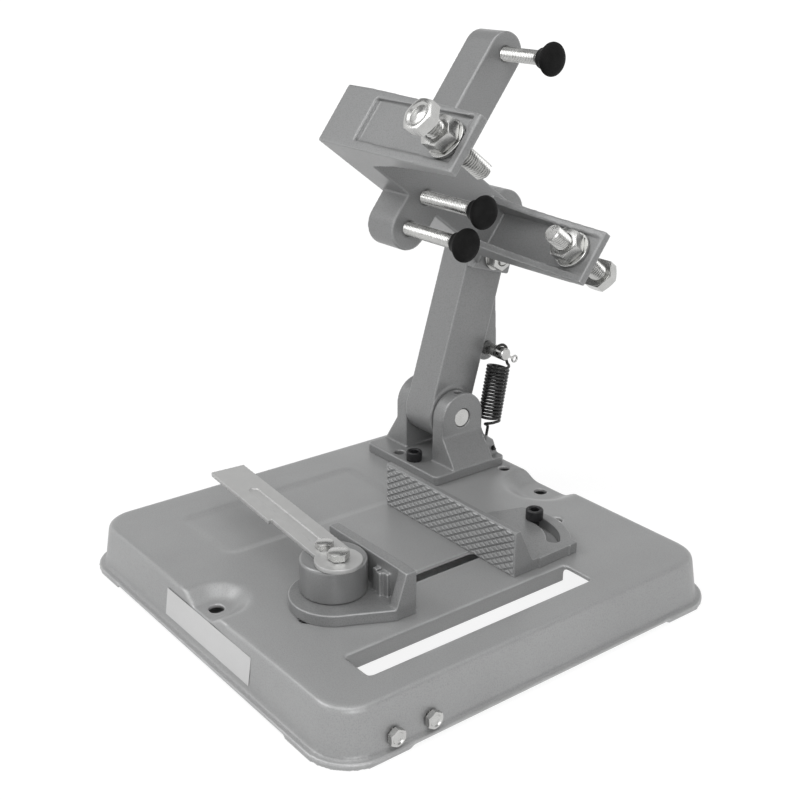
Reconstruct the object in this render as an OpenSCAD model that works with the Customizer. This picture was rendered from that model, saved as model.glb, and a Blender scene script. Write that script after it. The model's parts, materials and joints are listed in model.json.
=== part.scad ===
// Cut-off stand for a small angle grinder: pressed tray, clevis bracket, swinging arm
// with two tension springs, cast grinder holder, mitre fence and cam clamp.
// Origin at the middle of the tray on the bench, +X right, +Y back, +Z up. Millimetres.

/* [Base tray] */
// Width of the tray top, left to right
base_w = 242; // [236:1:260]
// Depth of the tray top, front to back
base_d = 245; // [240:1:262]
// Height of the tray top above the bench
base_h = 27.4; // [25:0.2:34]
// Sheet thickness
sheet_t = 2.5; // [2:0.1:3]
// Radius of the upright corners
corner_r = 18; // [12:1:24]
// How far the walls lean out at the foot
wall_draft = 3.9; // [2:0.1:5]
// Rounding of the top edge
edge_r = 3; // [2:0.2:4]
// How far the foot rim stands out of the wall
rim_out = 3; // [2:0.2:5]
// Thickness of the foot rim
rim_t = 3.4; // [3:0.2:5]
// Lift of the rim between the corner pads
rim_lift = 1.5; // [0.5:0.1:2]
// Length of a corner pad
pad_l = 42; // [30:1:60]

/* [Disc slot] */
// Middle of the disc slot, right of the tray middle
slot_x = 92; // [90:0.5:94]
// Middle of the disc slot, front to back
slot_y = -20; // [-24:0.5:-16]
// Width of the disc slot
slot_w = 20; // [16:0.5:22]
// Length of the disc slot
slot_l = 145.2; // [120:1:150]
// Corner radius of the disc slot
slot_r = 2.5; // [1.5:0.1:4]
// Depth of the turned-down lip beside the disc slot
lip_h = 10.2; // [6:0.2:16]
// Thickness of that lip
lip_t = 2; // [1.6:0.1:2.5]

/* [Bench holes and pressings] */
// Distance of each bench hole from the middle
bench_y = 114; // [112:0.5:116]
// Bench hole diameter
bench_d = 8; // [6:0.2:9]
// Depth of the pockets round the bench holes
pocket_h = 5.4; // [3:0.2:7]
// Radius of the pocket floor
pocket_r = 12; // [9:0.5:14]
// How far the pocket sides spread to the top
pocket_flare = 12; // [6:0.5:16]
// Left edge of the shallow panel, from the middle
panel_x = -91; // [-96:1:-86]
// Width of the shallow panel
panel_w = 54; // [40:1:56]
// Front edge of the shallow panel
panel_y = -84; // [-90:1:-78]
// Length of the shallow panel
panel_l = 118; // [90:1:124]
// Corner radius of the shallow panel
panel_r = 8; // [4:0.5:12]
// Depth of the shallow panel
panel_h = 0.8; // [0.4:0.1:1.2]
// Spare hole diameter
spare_d = 6.6; // [6:0.2:9]
// Spare hole behind the bracket, from the middle
spare_a_x = -30.6; // [-32:0.1:-28]
// The same hole, to the back
spare_a_y = 111.5; // [109:0.5:113]
// Spare hole behind the fence, from the middle
spare_b_x = 41; // [38:0.5:46]
// The same hole, to the back
spare_b_y = 87; // [84:0.5:90]

/* [Wall bolts] */
// Thread of the two wall bolts
wall_bolt_d = 5; // [4:0.5:6]
// Height of the wall bolts
wall_bolt_z = 9; // [7.5:0.5:11]
// First wall bolt, front to back
wall_bolt_y = -94.9; // [-98:0.5:-90]
// Distance between the wall bolts
wall_bolt_gap = 21.5; // [16:0.5:26]
// Length of the wall bolts under the head
wall_bolt_l = 14; // [12:0.5:18]

/* [Clevis bracket] */
// Middle of the bracket and arm, from the left edge of the tray top
bracket_in = 50.6; // [49:0.2:53]
// Front edge of the bracket foot
foot_y = 59.2; // [58:0.1:62]
// Width of the foot
foot_w = 70; // [66:0.2:74]
// Depth of the foot
foot_d = 57; // [56:0.2:59]
// Thickness of the foot
foot_t = 6; // [5:0.2:8]
// Corner radius of the foot
foot_r = 3; // [2:0.2:5]
// Gap between the two ears
ear_gap = 26; // [25:0.2:28]
// Thickness of an ear
ear_t = 10; // [8:0.2:11]
// Radius of the ear round the pivot
ear_r = 16.1; // [15:0.1:17]
// Pivot height above the tray top
pivot_h = 33.9; // [32:0.2:37]
// Pivot position, front to back
pivot_y = 90.3; // [89.5:0.1:91]
// Height of the outward flare of the ears
flare_h = 18; // [12:0.5:22]
// Height of the backward flare of the ears
heel_h = 12; // [8:0.5:16]
// Reach of the backward flare of the ears
heel_l = 6; // [3:0.5:8]
// Thickness of the spring tabs
tab_t = 4; // [3:0.2:5]
// Spring tab middle, outside the bracket middle
tab_x = 27; // [26.5:0.1:28.5]
// Height of the spring tabs above the foot
tab_h = 14.5; // [11:0.5:16]
// Spring hook hole diameter
hook_hole_d = 3.4; // [3:0.1:4]
// Height of the hook hole above the foot
hook_h = 4; // [3.6:0.1:5]
// Hook hole, front to back
hook_y = 111.4; // [111:0.1:112]
// Front screw holes, left of the bracket middle
foot_hole_left = 2; // [1:0.1:2.5]
// Distance between the two front screw holes
foot_hole_gap = 15.2; // [14:0.2:17]
// Front screw holes behind the foot edge
foot_hole_in = 6.8; // [6.2:0.1:7.2]
// Rear screw ahead of the back edge
rear_hole_in = 6.6; // [6.2:0.1:7.2]

/* [Pivot] */
// Pivot pin diameter
pin_d = 12; // [10:0.5:14]
// How far the pivot pin sits below the ear face
pin_recess = 0.8; // [0.4:0.1:1.5]
// Grub screw diameter
grub_d = 5; // [4:0.5:6]
// Grub screw length
grub_l = 3; // [2.5:0.1:3.5]
// Play of a turning or sliding fit, on the radius
fit = 0.05; // [0.02:0.01:0.08]
// Play of a bolt in a plain hole, on the radius
clear = 0.25; // [0.15:0.05:0.4]
// Play between faces that slide past each other
side_play = 0.3; // [0.2:0.05:0.5]

/* [Arm] */
// Backward lean of the arm, degrees
arm_lean = 16.6; // [14:0.2:19]
// Arm length, pivot to the round end
arm_l = 127.5; // [124:0.5:134]
// Width of the arm body
arm_w = 24; // [21:0.2:24.4]
// Arm front face ahead of the pivot
arm_front = 17.5; // [16:0.1:18]
// Radius of the round end of the arm
arm_end_r = 15.2; // [14:0.1:16.4]
// Arm back face behind the pivot
arm_back = 14.6; // [13:0.1:16]
// Width of the rear lug for the spring pin
lug_w = 16; // [12:0.5:20]
// Radius of the rear lug
lug_r = 8.4; // [7:0.2:9.5]
// Spring pin behind the pivot, in arm axes
lug_y = 20.7; // [20:0.1:22]
// Spring pin above the pivot, in arm axes
lug_z = 43.4; // [41:0.2:46]
// Length of the lug up the back of the arm
lug_l = 41; // [30:1:46]

/* [Springs] */
// Spring pin diameter
spring_pin_d = 8; // [6:0.5:9]
// Spring pin length
spring_pin_l = 52; // [51:0.5:56]
// Spring middle, outside the arm middle
spring_x = 20.9; // [20.6:0.1:21.4]
// Outer diameter of the springs
spring_od = 15; // [13:0.2:15.4]
// Spring wire diameter
wire_d = 1.5; // [1.2:0.1:1.6]
// Number of curls in each spring
spring_turns = 16; // [12:1:17]
// Start of the curls above the hook, along the spring
spring_foot = 17; // [15:0.5:19]
// Distance from the last curl to the spring pin middle
spring_head = 8.6; // [8:0.2:10]
// Split pin wire diameter
split_d = 1.6; // [1.2:0.1:2]
// Split pin length
split_l = 17; // [14:0.5:20]
// Split pin middle from the end of the spring pin
split_in = 2; // [1.5:0.1:2.2]

/* [Grinder holder] */
// Tilt of the long bar above level, degrees
bar_tilt = 53; // [50:0.5:56]
// Thickness of bar and cross band
holder_t = 28.4; // [26:0.2:32]
// Width of the cross band
band_w = 34.4; // [32:0.2:38]
// Cross band middle below the arm end, along the bar
band_y = -16.6; // [-18:0.1:-16]
// Width of the front prong at its tip
front_tip_w = 31.6; // [28:0.2:34]
// Width of the rear prong
rear_prong_w = 31; // [28:0.2:33]
// Span of the two prongs, outside to outside
span = 122.6; // [118:0.2:128]
// Middle of the holder ahead of the arm end
holder_mid = 77.6; // [76.5:0.1:81]
// Width of the long bar
bar_w = 24.4; // [22:0.2:27]
// Length of the prongs ahead of the cross band
prong_l = 78.4; // [70:0.2:86]
// Thickness of a prong plate
prong_t = 5; // [3.6:0.1:5.4]
// Draft of the prong outer face
prong_draft = 2.4; // [1:0.1:3]
// Draft of the rear prong outer face
rear_draft = 1.2; // [0.4:0.1:2]
// Depth of the prong flanges at the band
flange_h = 20; // [14:0.5:24]
// Thickness of the prong flanges
flange_t = 4; // [3:0.1:5]
// Width of the recess on the front prong
recess_w = 25; // [20:0.5:26]
// Depth of that recess
recess_h = 2.2; // [0.8:0.1:2.6]
// Thickness of the mounting ear against the arm
mount_t = 6; // [5:0.2:7]
// Length of the mounting ear down the arm
mount_l = 35; // [34:0.5:42]
// Wall left round the hollows of the holder
holder_wall = 6; // [5:0.2:7]

/* [Holder screws] */
// Thread of the screws that fasten the holder to the arm
joint_d = 8; // [6:0.5:8]
// Distance between those two screws
joint_gap = 26; // [24:0.5:28]
// Thread of the three support screws
support_d = 8; // [6:0.5:8]
// Distance of the support screw ends inside the back of the bar
support_inset = 1; // [0.5:0.1:3]
// Top support screw above the arm end, along the bar
support_top = 62.8; // [60:0.2:66]
// Middle support screw below the arm end
support_mid = -28.6; // [-29.4:0.1:-28]
// Lower support screw below the arm end
support_low = -48.2; // [-50:0.1:-47.6]
// Reach of the top support screw ahead of the bar
support_top_out = 31.8; // [28:0.2:36]
// Reach of the other two ahead of the bar
support_low_out = 42.5; // [40:0.2:45]
// Rubber cap diameter
cap_d = 18.2; // [16:0.2:18.8]
// Rubber cap height
cap_h = 11.4; // [10:0.2:14]
// Thread of the two grinder bolts
grinder_d = 10; // [8:0.5:12]
// Length of the grinder bolts under the head
grinder_l = 47; // [44:0.5:50]
// Grinder bolts ahead of the bar face
grinder_x = 63.5; // [56:0.5:66]
// Reach of the front grinder bolt inside its prong
front_in = 27; // [22:0.1:30]
// Reach of the rear grinder bolt inside its prong
rear_in = 21.5; // [18:0.1:26]
// Grinder bolts toward the foot of the prong, off the band middle
grinder_low = 1.2; // [0:0.1:2]
// Outer diameter of the washers on the prongs
jam_washer_d = 21; // [20:0.1:22]

/* [Fence] */
// Left end of the fence
fence_x = -35; // [-38:0.5:-32]
// Length of the fence face
fence_l = 111; // [108:0.5:115]
// Front face of the fence
fence_y = 21.3; // [20.5:0.1:22.5]
// Height of the fence
fence_h = 26.2; // [24:0.2:30]
// Thickness of the fence at the top
fence_t = 3.5; // [3:0.1:4.5]
// Thickness of the fence foot, front to back
fence_foot = 13.2; // [10:0.2:14]
// Height of the fence foot
fence_foot_h = 6.3; // [5:0.1:8]
// Fence pivot, right of the tray middle
fence_pivot_x = 44.4; // [43.8:0.1:45]
// Fence pivot, front to back
fence_pivot_y = 39; // [38.6:0.1:39.6]
// Radius of the curved slot
arc_r = 29.6; // [28:0.1:31]
// Clamping screw direction from the pivot, degrees
arc_start = 95.7; // [93:0.1:100]
// Sweep of the curved slot, degrees
arc_sweep = 52; // [48:1:56]
// Width of the curved slot
arc_w = 7.8; // [7:0.1:8.4]
// Outer radius of the fence foot
arc_outer = 39.6; // [38:0.1:41]
// Depth of the counterbore for the pivot screw
pivot_sink = 3; // [2:0.1:3.6]
// Thread of the fence and bracket screws
screw_d = 6; // [5:0.5:6]

/* [Clamp] */
// Clamp bolt and clamp slot, right of the tray middle
clamp_x = 43.4; // [42.8:0.1:44]
// Clamp bolt, front to back
clamp_y = -68; // [-69:0.1:-67]
// Clamp bolt thread
clamp_d = 6; // [6:0.5:8]
// Front end of the clamp slot
clamp_slot_y = -91.5; // [-94:0.5:-88]
// Length of the clamp slot
clamp_slot_l = 117; // [100:1:118]
// Width of the clamp slot
clamp_slot_w = 8.4; // [8.2:0.1:9.4]
// Thickness of the jaw foot
jaw_foot_t = 6.2; // [5:0.2:8]
// Radius of the jaw foot round the cam
jaw_foot_r = 23.4; // [22:0.2:26]
// Middle of that radius, left of the bolt
jaw_foot_in = 4; // [2:0.2:6]
// Left end of the jaw wall
jaw_x = 6; // [4:0.5:9]
// Length of the jaw wall
jaw_l = 66.6; // [64:0.5:70]
// Front face of the jaw wall
jaw_y = -41.5; // [-42:0.1:-41]
// Height of the jaw wall
jaw_h = 24.2; // [23:0.2:24.4]
// Thickness of the jaw wall
jaw_t = 6.4; // [5:0.1:7]
// Foot of the gusset behind the right end
gusset_l = 6; // [4:0.2:8]
// Cam radius
cam_r = 17.3; // [16:0.1:17.5]
// Cam height
cam_h = 18; // [17.8:0.1:20]
// Cam middle off the bolt
cam_off = 7.6; // [7:0.1:9]
// Direction of that offset, degrees
cam_dir = 165; // [160:1:168]
// Lever length from the bolt
lever_l = 127.5; // [110:0.5:130]
// Lever direction, degrees
lever_dir = 175; // [173:0.5:177]
// Lever width
lever_w = 20.6; // [18:0.2:22]
// Lever thickness
lever_t = 2.4; // [2:0.1:4]
// Radius of the lever eye
lever_eye_r = 12.2; // [11:0.2:14]
// Lever screw thread
lever_screw_d = 5; // [4:0.5:6]
// Lever screw from the bolt
lever_screw_at = 14; // [13.6:0.1:15]

/* [Hidden] */
$fn = 48;
// corner facets of the blended tray shell
blend_fn = 32;
// overrun of every cut
over = 1;
// colours
grey = "#a9abab"; steel = "#c9cac8"; dark = "#1c1c1c"; cast = "#a3a5a5";

// fastener proportions, as shares of the thread
hex_share = 1.65;        // across flats of a hexagon
hex_h_share = 0.65;      // height of a hexagon head
nut_h_share = 0.8;       // height of a nut
washer_share = 2.0;      // outer diameter of a washer
washer_h_share = 0.2;    // thickness of a washer
cap_head_share = 1.66;   // diameter of a socket head
socket_share = 0.83;     // across flats of the socket
socket_h_share = 0.5;    // depth of the socket

// tray
tray_w = base_w + 2 * wall_draft;
tray_d = base_d + 2 * wall_draft;
rim_w = tray_w + 2 * rim_out;
rim_d = tray_d + 2 * rim_out;
rim_r = corner_r + wall_draft + rim_out;
top_z = base_h;
under_z = base_h - sheet_t;
wall_at_bolt = base_w / 2 + wall_draft * (1 - wall_bolt_z / base_h);
// bracket and arm
bracket_x = bracket_in - base_w / 2;
foot_top = top_z + foot_t;
foot_mid_y = foot_y + foot_d / 2;
foot_back = foot_y + foot_d;
pivot_z = top_z + pivot_h;
ear_out = ear_gap / 2 + ear_t;
hook_z = foot_top + hook_h;
pin_l = 2 * (ear_out - pin_recess);
barrel_w = ear_gap - 2 * side_play;
arm_mid = arm_end_r - arm_front;
arm_face = bracket_x + arm_w / 2;
foot_hole_y = foot_y + foot_hole_in;
rear_hole_y = foot_back - rear_hole_in;
foot_hole_mid = bracket_x - foot_hole_left;
screw_at = [[foot_hole_mid + foot_hole_gap / 2, foot_hole_y], [foot_hole_mid, rear_hole_y]];
// washers, nuts and heads by thread
function washer_h(d) = d * washer_h_share;
function head_h(d) = d * hex_h_share;
// arm end and spring pin in the part's frame
end_y = pivot_y + arm_mid * cos(arm_lean) + arm_l * sin(arm_lean);
end_z = pivot_z - arm_mid * sin(arm_lean) + arm_l * cos(arm_lean);
lug_py = pivot_y + lug_y * cos(arm_lean) + lug_z * sin(arm_lean);
lug_pz = pivot_z - lug_y * sin(arm_lean) + lug_z * cos(arm_lean);
// holder, in its own axes: X, along the bar, across the bar to the front
holder_back = arm_face;
holder_face = arm_face + holder_t;
prong_tip = holder_face + prong_l;
prong_out = span / 2;
arm_turn = 90 - arm_lean - bar_tilt;
mount_face = arm_face + mount_t;
joint_at = [0, -joint_gap];
grinder_z_front = holder_mid + prong_out;
grinder_y = band_y - grinder_low;
bolt_share = (grinder_x + holder_t) / (prong_l + holder_t);
bolt_draft = prong_draft * bolt_share;
prong_face_at_bolt = prong_out - bolt_draft;
// fence and clamp
cam_z = top_z + jaw_foot_t + side_play;
lever_z = cam_z + cam_h;
cam_x = clamp_x + cam_off * cos(cam_dir);
cam_y = clamp_y + cam_off * sin(cam_dir);
jaw_back = jaw_y - jaw_t;

// ---- shared shapes ----
module slab(w, d, r, h) {
  linear_extrude(h) {
    square([w - 2 * r, d], center = true);
    square([w, d - 2 * r], center = true);
    for (i = [-1, 1], j = [-1, 1])
      translate([i * (w / 2 - r), j * (d / 2 - r)]) circle(r);
  }
}
module slot(w, l, h) {
  // a round-ended slot along Y that starts at the origin
  for (y = [w / 2, l - w / 2]) translate([0, y, 0]) cylinder(h = h, d = w);
  translate([-w / 2, w / 2, 0]) cube([w, l - w, h]);
}
module hexagon(af, h) cylinder(h = h, d = af / cos(180 / 6), $fn = 6);
module along_x() rotate([0, 90, 0]) children();
module nut(d, h) difference() {
  hexagon(d * hex_share, h);
  translate([0, 0, -over]) cylinder(h = h + 2 * over, d = d + 2 * fit);
}
module washer(d) difference() {
  cylinder(h = washer_h(d), d = d * washer_share);
  translate([0, 0, -over]) cylinder(h = washer_h(d) + 2 * over, d = d + 2 * clear);
}
// hexagon bolt, head below the origin, shank upward
module hex_bolt(d, l) {
  translate([0, 0, -head_h(d)]) intersection() {
    hexagon(d * hex_share, head_h(d));
    cylinder(h = head_h(d), d1 = d * hex_share, d2 = d * hex_share + 2 * head_h(d));
  }
  cylinder(h = l, d = d);
}
// socket screw, head above the origin, shank downward
module socket_screw(d, l) {
  difference() {
    cylinder(h = d, d = d * cap_head_share);
    translate([0, 0, d - d * socket_h_share]) hexagon(d * socket_share, d);
  }
  translate([0, 0, -l]) cylinder(h = l, d = d);
}
// profile in Y and Z, drawn out along X and centred on x
module side_plate(x, w) translate([x - w / 2, 0, 0]) rotate([90, 0, 90])
  linear_extrude(w) children();

// ---- tray ----
module layer(w, d, r, z, h) translate([0, 0, z]) slab(w, d, r, h, $fn = blend_fn);
layer_h = 0.01;
// rounding of the top edge: how far in and how far down, as shares of its radius
round_in_shares = [0, 0.134, 0.5, 1];
round_down_shares = [1, 0.5, 0.134, 0];
module shell(in, lift) {
  // in: wall left out, lift: how far below the tray top the skin ends
  er = edge_r;
  hull() {
    layer(tray_w - 2 * in, tray_d - 2 * in, corner_r + wall_draft - in,
      in > 0 ? -over : 0, layer_h);
    for (k = [0:3])
      layer(base_w - 2 * in - 2 * er * round_in_shares[k],
        base_d - 2 * in - 2 * er * round_in_shares[k],
        corner_r - in - er * round_in_shares[k] / 2,
        top_z - lift - er * round_down_shares[k] - layer_h, layer_h);
  }
}
module pockets(grow) {
  depth = pocket_h + grow;
  rise = depth + over;
  top_r = pocket_r + grow + pocket_flare * rise / pocket_h;
  for (s = [-1, 1]) translate([0, s * bench_y, top_z - depth]) {
    cylinder(h = rise, r1 = pocket_r + grow, r2 = top_r);
    rotate([90, 0, s > 0 ? 180 : 0]) linear_extrude(rim_out + base_d / 2 - bench_y + corner_r)
      polygon([[-pocket_r - grow, 0], [pocket_r + grow, 0], [top_r, rise], [-top_r, rise]]);
  }
}
module wall_bolt_place() for (k = [0, 1])
  translate([wall_at_bolt, wall_bolt_y + k * wall_bolt_gap, wall_bolt_z]) along_x() children();
module base_tray() color(grey) difference() {
  union() {
    difference() {
      difference() { shell(0, 0); pockets(0); }
      difference() { shell(sheet_t, sheet_t); pockets(sheet_t); }
    }
    difference() {
      slab(rim_w, rim_d, rim_r, rim_t);
      translate([0, 0, -over])
        slab(tray_w - 2 * sheet_t, tray_d - 2 * sheet_t, corner_r + wall_draft - sheet_t,
          rim_t + 2 * over);
    }
    // turned-down lip on the inner side of the disc slot
    translate([slot_x - slot_w / 2 - lip_t, slot_y - slot_l / 2 + slot_r, top_z - lip_h])
      cube([lip_t, slot_l - slot_r, lip_h - panel_h]);
    // flat seat inside the wall for the wall nuts
    for (k = [0, 1])
      translate([base_w / 2 - sheet_t - panel_h, wall_bolt_y + k * wall_bolt_gap, wall_bolt_z])
        along_x() cylinder(h = sheet_t + wall_draft / 2, d = wall_bolt_d * washer_share);
  }
  // lifted rim between the corner pads
  translate([-rim_w, -rim_d / 2 + pad_l, -over]) cube([2 * rim_w, rim_d - 2 * pad_l, over + rim_lift]);
  translate([-rim_w / 2 + pad_l, -rim_d, -over]) cube([rim_w - 2 * pad_l, 2 * rim_d, over + rim_lift]);
  // disc slot and clamp slot
  translate([slot_x, slot_y, under_z - over]) slab(slot_w, slot_l, slot_r, sheet_t + 2 * over);
  translate([clamp_x, clamp_slot_y, under_z - over])
    slot(clamp_slot_w, clamp_slot_l, sheet_t + 2 * over);
  // bench holes, fixing holes and spare holes
  for (s = [-1, 1]) translate([0, s * bench_y, 0]) cylinder(h = top_z, d = bench_d);
  for (p = concat(screw_at, [[fence_pivot_x, fence_pivot_y], slot_screw_at]))
    translate([p[0], p[1], under_z - over]) cylinder(h = sheet_t + 2 * over, d = screw_d + 2 * clear);
  for (p = [[spare_a_x, spare_a_y], [spare_b_x, spare_b_y]])
    translate([p[0], p[1], under_z - over]) cylinder(h = sheet_t + 2 * over, d = spare_d);
  wall_bolt_place() translate([0, 0, -sheet_t - wall_bolt_l])
    cylinder(h = wall_bolt_l + 2 * sheet_t, d = wall_bolt_d + 2 * clear);
  // shallow pressed panel
  translate([panel_x + panel_w / 2, panel_y + panel_l / 2, top_z - panel_h])
    slab(panel_w, panel_l, panel_r, panel_h + over);
}
wall_seat = base_w / 2 - sheet_t - panel_h;
wall_head_x = base_w / 2
  + wall_draft * (1 - (wall_bolt_z - wall_bolt_d * hex_share / 2) / base_h);
module wall_bolts() color(steel) for (k = [0, 1])
  translate([wall_head_x, wall_bolt_y + k * wall_bolt_gap, wall_bolt_z])
    rotate([0, -90, 0]) hex_bolt(wall_bolt_d, wall_bolt_l);
module wall_nuts() color(steel) for (k = [0, 1])
  translate([wall_seat - wall_bolt_d * nut_h_share, wall_bolt_y + k * wall_bolt_gap, wall_bolt_z])
    along_x() nut(wall_bolt_d, wall_bolt_d * nut_h_share);

// ---- clevis bracket ----
module clevis_bracket() color(cast) difference() {
  union() {
    translate([bracket_x, foot_mid_y, top_z]) slab(foot_w, foot_d, foot_r, foot_t);
    for (s = [-1, 1]) {
      // ear with its round top and its heel
      side_plate(bracket_x + s * (ear_gap + ear_t) / 2, ear_t) {
        translate([pivot_y, pivot_z]) circle(ear_r);
        polygon([[pivot_y - ear_r, foot_top - over], [pivot_y + ear_r + heel_l, foot_top - over],
          [pivot_y + ear_r + heel_l, foot_top], [pivot_y + ear_r, foot_top + heel_h],
          [pivot_y + ear_r, pivot_z], [pivot_y - ear_r, pivot_z]]);
      }
      // outward flare down to the edge of the foot
      translate([bracket_x, pivot_y + ear_r, 0]) rotate([90, 0, 0]) linear_extrude(2 * ear_r)
        polygon([[s * (ear_out - over), foot_top - over], [s * foot_w / 2, foot_top - over],
          [s * foot_w / 2, foot_top], [s * ear_out, foot_top + flare_h],
          [s * (ear_out - over), foot_top + flare_h]]);
      // tab for the spring hook
      side_plate(bracket_x + s * tab_x, tab_t)
        polygon([[pivot_y + ear_r - over, foot_top - over], [foot_back - over, foot_top - over],
          [foot_back - over, foot_top], [hook_y, foot_top + tab_h * 0.7],
          [pivot_y + ear_r - over, foot_top + tab_h]]);
    }
  }
  translate([bracket_x - foot_w, pivot_y, pivot_z]) along_x()
    cylinder(h = 2 * foot_w, d = pin_d + 2 * fit);
  for (s = [-1, 1]) translate([bracket_x + s * tab_x - tab_t, hook_y, hook_z]) along_x()
    cylinder(h = 2 * tab_t, d = hook_hole_d);
  translate([grub_x, pivot_y, pivot_z]) cylinder(h = ear_r + over, d = grub_d + 2 * fit);
  for (p = concat(screw_at, [[foot_hole_mid - foot_hole_gap / 2, foot_hole_y]]))
    translate([p[0], p[1], top_z - over])
      cylinder(h = foot_t + 2 * over, d = screw_d + 2 * clear);
}
grub_x = bracket_x + (ear_gap + ear_t) / 2;
foot_screw_l = foot_t + sheet_t + screw_d * nut_h_share + over;
module bracket_screws() color(dark) for (p = screw_at)
  translate([p[0], p[1], foot_top]) socket_screw(screw_d, foot_screw_l);
module bracket_nuts() color(steel) for (p = screw_at)
  translate([p[0], p[1], under_z - screw_d * nut_h_share]) nut(screw_d, screw_d * nut_h_share);
module pivot_pin() color(steel) difference() {
  translate([bracket_x - pin_l / 2, pivot_y, pivot_z]) along_x() cylinder(h = pin_l, d = pin_d);
  // flat that the grub screw bears on
  translate([grub_x - grub_d / 2, pivot_y - pin_d / 2, pivot_z + pin_d / 2 - fit])
    cube([grub_d, pin_d, pin_d]);
}
module pin_grub_screw() color(dark) translate([grub_x, pivot_y, pivot_z + pin_d / 2]) difference() {
  cylinder(h = grub_l, d = grub_d);
  translate([0, 0, grub_l - grub_d * socket_h_share / 2]) hexagon(grub_d * socket_h_share, grub_d);
}

// ---- arm ----
module in_arm() translate([0, pivot_y, pivot_z]) rotate([-arm_lean, 0, 0]) children();
// where the lug outline leaves its round end, degrees
lug_high = 22;
lug_low = -112;
module arm() color(cast) in_arm() difference() {
  union() {
    side_plate(bracket_x, arm_w) {
      polygon([[-arm_front, 0], [arm_back, 0], [arm_mid + arm_end_r, arm_l], [-arm_front, arm_l]]);
      translate([arm_mid, arm_l]) circle(arm_end_r);
    }
    translate([bracket_x - barrel_w / 2, 0, 0]) along_x() cylinder(h = barrel_w, r = arm_front);
    side_plate(bracket_x, lug_w) {
      translate([lug_y, lug_z]) circle(lug_r);
      polygon([[arm_mid, lug_z + lug_l], [arm_back, lug_z + lug_l],
        [lug_y + lug_r * cos(lug_high), lug_z + lug_r * sin(lug_high)], [lug_y, lug_z],
        [lug_y + lug_r * cos(lug_low), lug_z + lug_r * sin(lug_low)],
        [arm_back, lug_z - 2 * lug_r], [arm_mid, lug_z - 2 * lug_r]]);
    }
  }
  translate([bracket_x - foot_w / 2, 0, 0]) along_x() cylinder(h = foot_w, d = pin_d + 2 * fit);
  translate([bracket_x - lug_w, lug_y, lug_z]) along_x()
    cylinder(h = 2 * lug_w, d = spring_pin_d + 2 * fit);
  for (k = joint_at) translate([bracket_x - arm_w, arm_mid, arm_l + k]) along_x()
    cylinder(h = 2 * arm_w, d = joint_d + 2 * clear);
}
module spring_pin() color(steel) difference() {
  translate([bracket_x - spring_pin_l / 2, lug_py, lug_pz]) along_x()
    cylinder(h = spring_pin_l, d = spring_pin_d);
  for (s = [-1, 1]) translate([bracket_x + s * (spring_pin_l / 2 - split_in), lug_py, lug_pz])
    rotate([90 + split_tilt, 0, 0]) translate([0, 0, -spring_pin_d])
      cylinder(h = 2 * spring_pin_d, d = split_d + 2 * fit);
}
// slope of the split pins, degrees
split_tilt = -29;
split_eye_r = split_d * 1.25;
module split_pins() color(steel) for (s = [-1, 1])
  translate([bracket_x + s * (spring_pin_l / 2 - split_in), lug_py, lug_pz])
    rotate([90 + split_tilt, 0, 0]) {
      translate([0, 0, -split_l / 2]) cylinder(h = split_l, d = split_d);
      translate([0, 0, -split_l / 2 - split_eye_r]) rotate([0, 90, 0])
        rotate_extrude() translate([split_eye_r, 0]) circle(d = split_d * 0.8);
    }

// ---- springs ----
// Each spring is one unbroken tube: hook, leg, curls, loop over the spring pin.
coil_r = (spring_od - wire_d) / 2;
hook_dy = lug_py - hook_y;
hook_dz = lug_pz - hook_z;
spring_len = norm([hook_dy, hook_dz]);
spring_lean = atan2(hook_dy, hook_dz);
coil_l = spring_len - spring_foot - spring_head;
curl_rings = 8;
loop_step = 30;
loop_r = (spring_pin_d / 2 + wire_d / 2 + 2 * fit) / cos(loop_step / 2);
tip_x = tab_x - spring_x + tab_t / 2 + wire_d;
bend_r = wire_d;
spoke_z = spring_foot - 2 * wire_d;
// path in spring axes: x outward, y to the back, z along the spring
hook_path = concat(
  [[tip_x, 0, 0], [tip_x - wire_d, 0, 0], [bend_r, 0, 0]],
  [for (a = [30, 60]) [bend_r * (1 - sin(a)), 0, bend_r * (1 - cos(a))]],
  [[0, 0, bend_r], [0, 0, spoke_z - bend_r]],
  [for (a = [30, 60]) [0, -bend_r * (1 - cos(a)), spoke_z - bend_r * (1 - sin(a))]],
  [for (a = [150, 120, 90, 60, 30])
    [coil_r / 2 * (1 + cos(a)), -bend_r - coil_r / 2 * sin(a) + bend_r * (180 - a) / 180,
     spoke_z + 2 * wire_d * (180 - a) / 180]]);
curls = [for (i = [0:spring_turns * curl_rings])
  [coil_r * cos(360 * i / curl_rings), coil_r * sin(360 * i / curl_rings),
   spring_foot + coil_l * i / (spring_turns * curl_rings)]];
quarter = [for (i = [1:2]) [coil_r * cos(45 * i), coil_r * sin(45 * i),
  spring_foot + coil_l + wire_d * i / 2]];
loop_path = concat(
  [[0, loop_r + (coil_r - loop_r) / 2, spring_foot + coil_l + 2.2 * wire_d]],
  [for (a = [0:loop_step:180]) [0, loop_r * cos(a), spring_len + loop_r * sin(a)]],
  [[0, -loop_r, spring_len - wire_d]]);
spring_path = concat(hook_path, curls, quarter, loop_path);
function unit(v) = v / norm(v);
function tangent(p, i) = unit(p[min(i + 1, len(p) - 1)] - p[max(i - 1, 0)]);
function carry(n, t) = unit(n - (n * t) * t);
function frames(p) = [for (i = 0, n = carry([0, 1, 0], tangent(p, 0)); i < len(p);
  n = i + 1 < len(p) ? carry(n, tangent(p, i + 1)) : n, i = i + 1) n];
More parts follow.
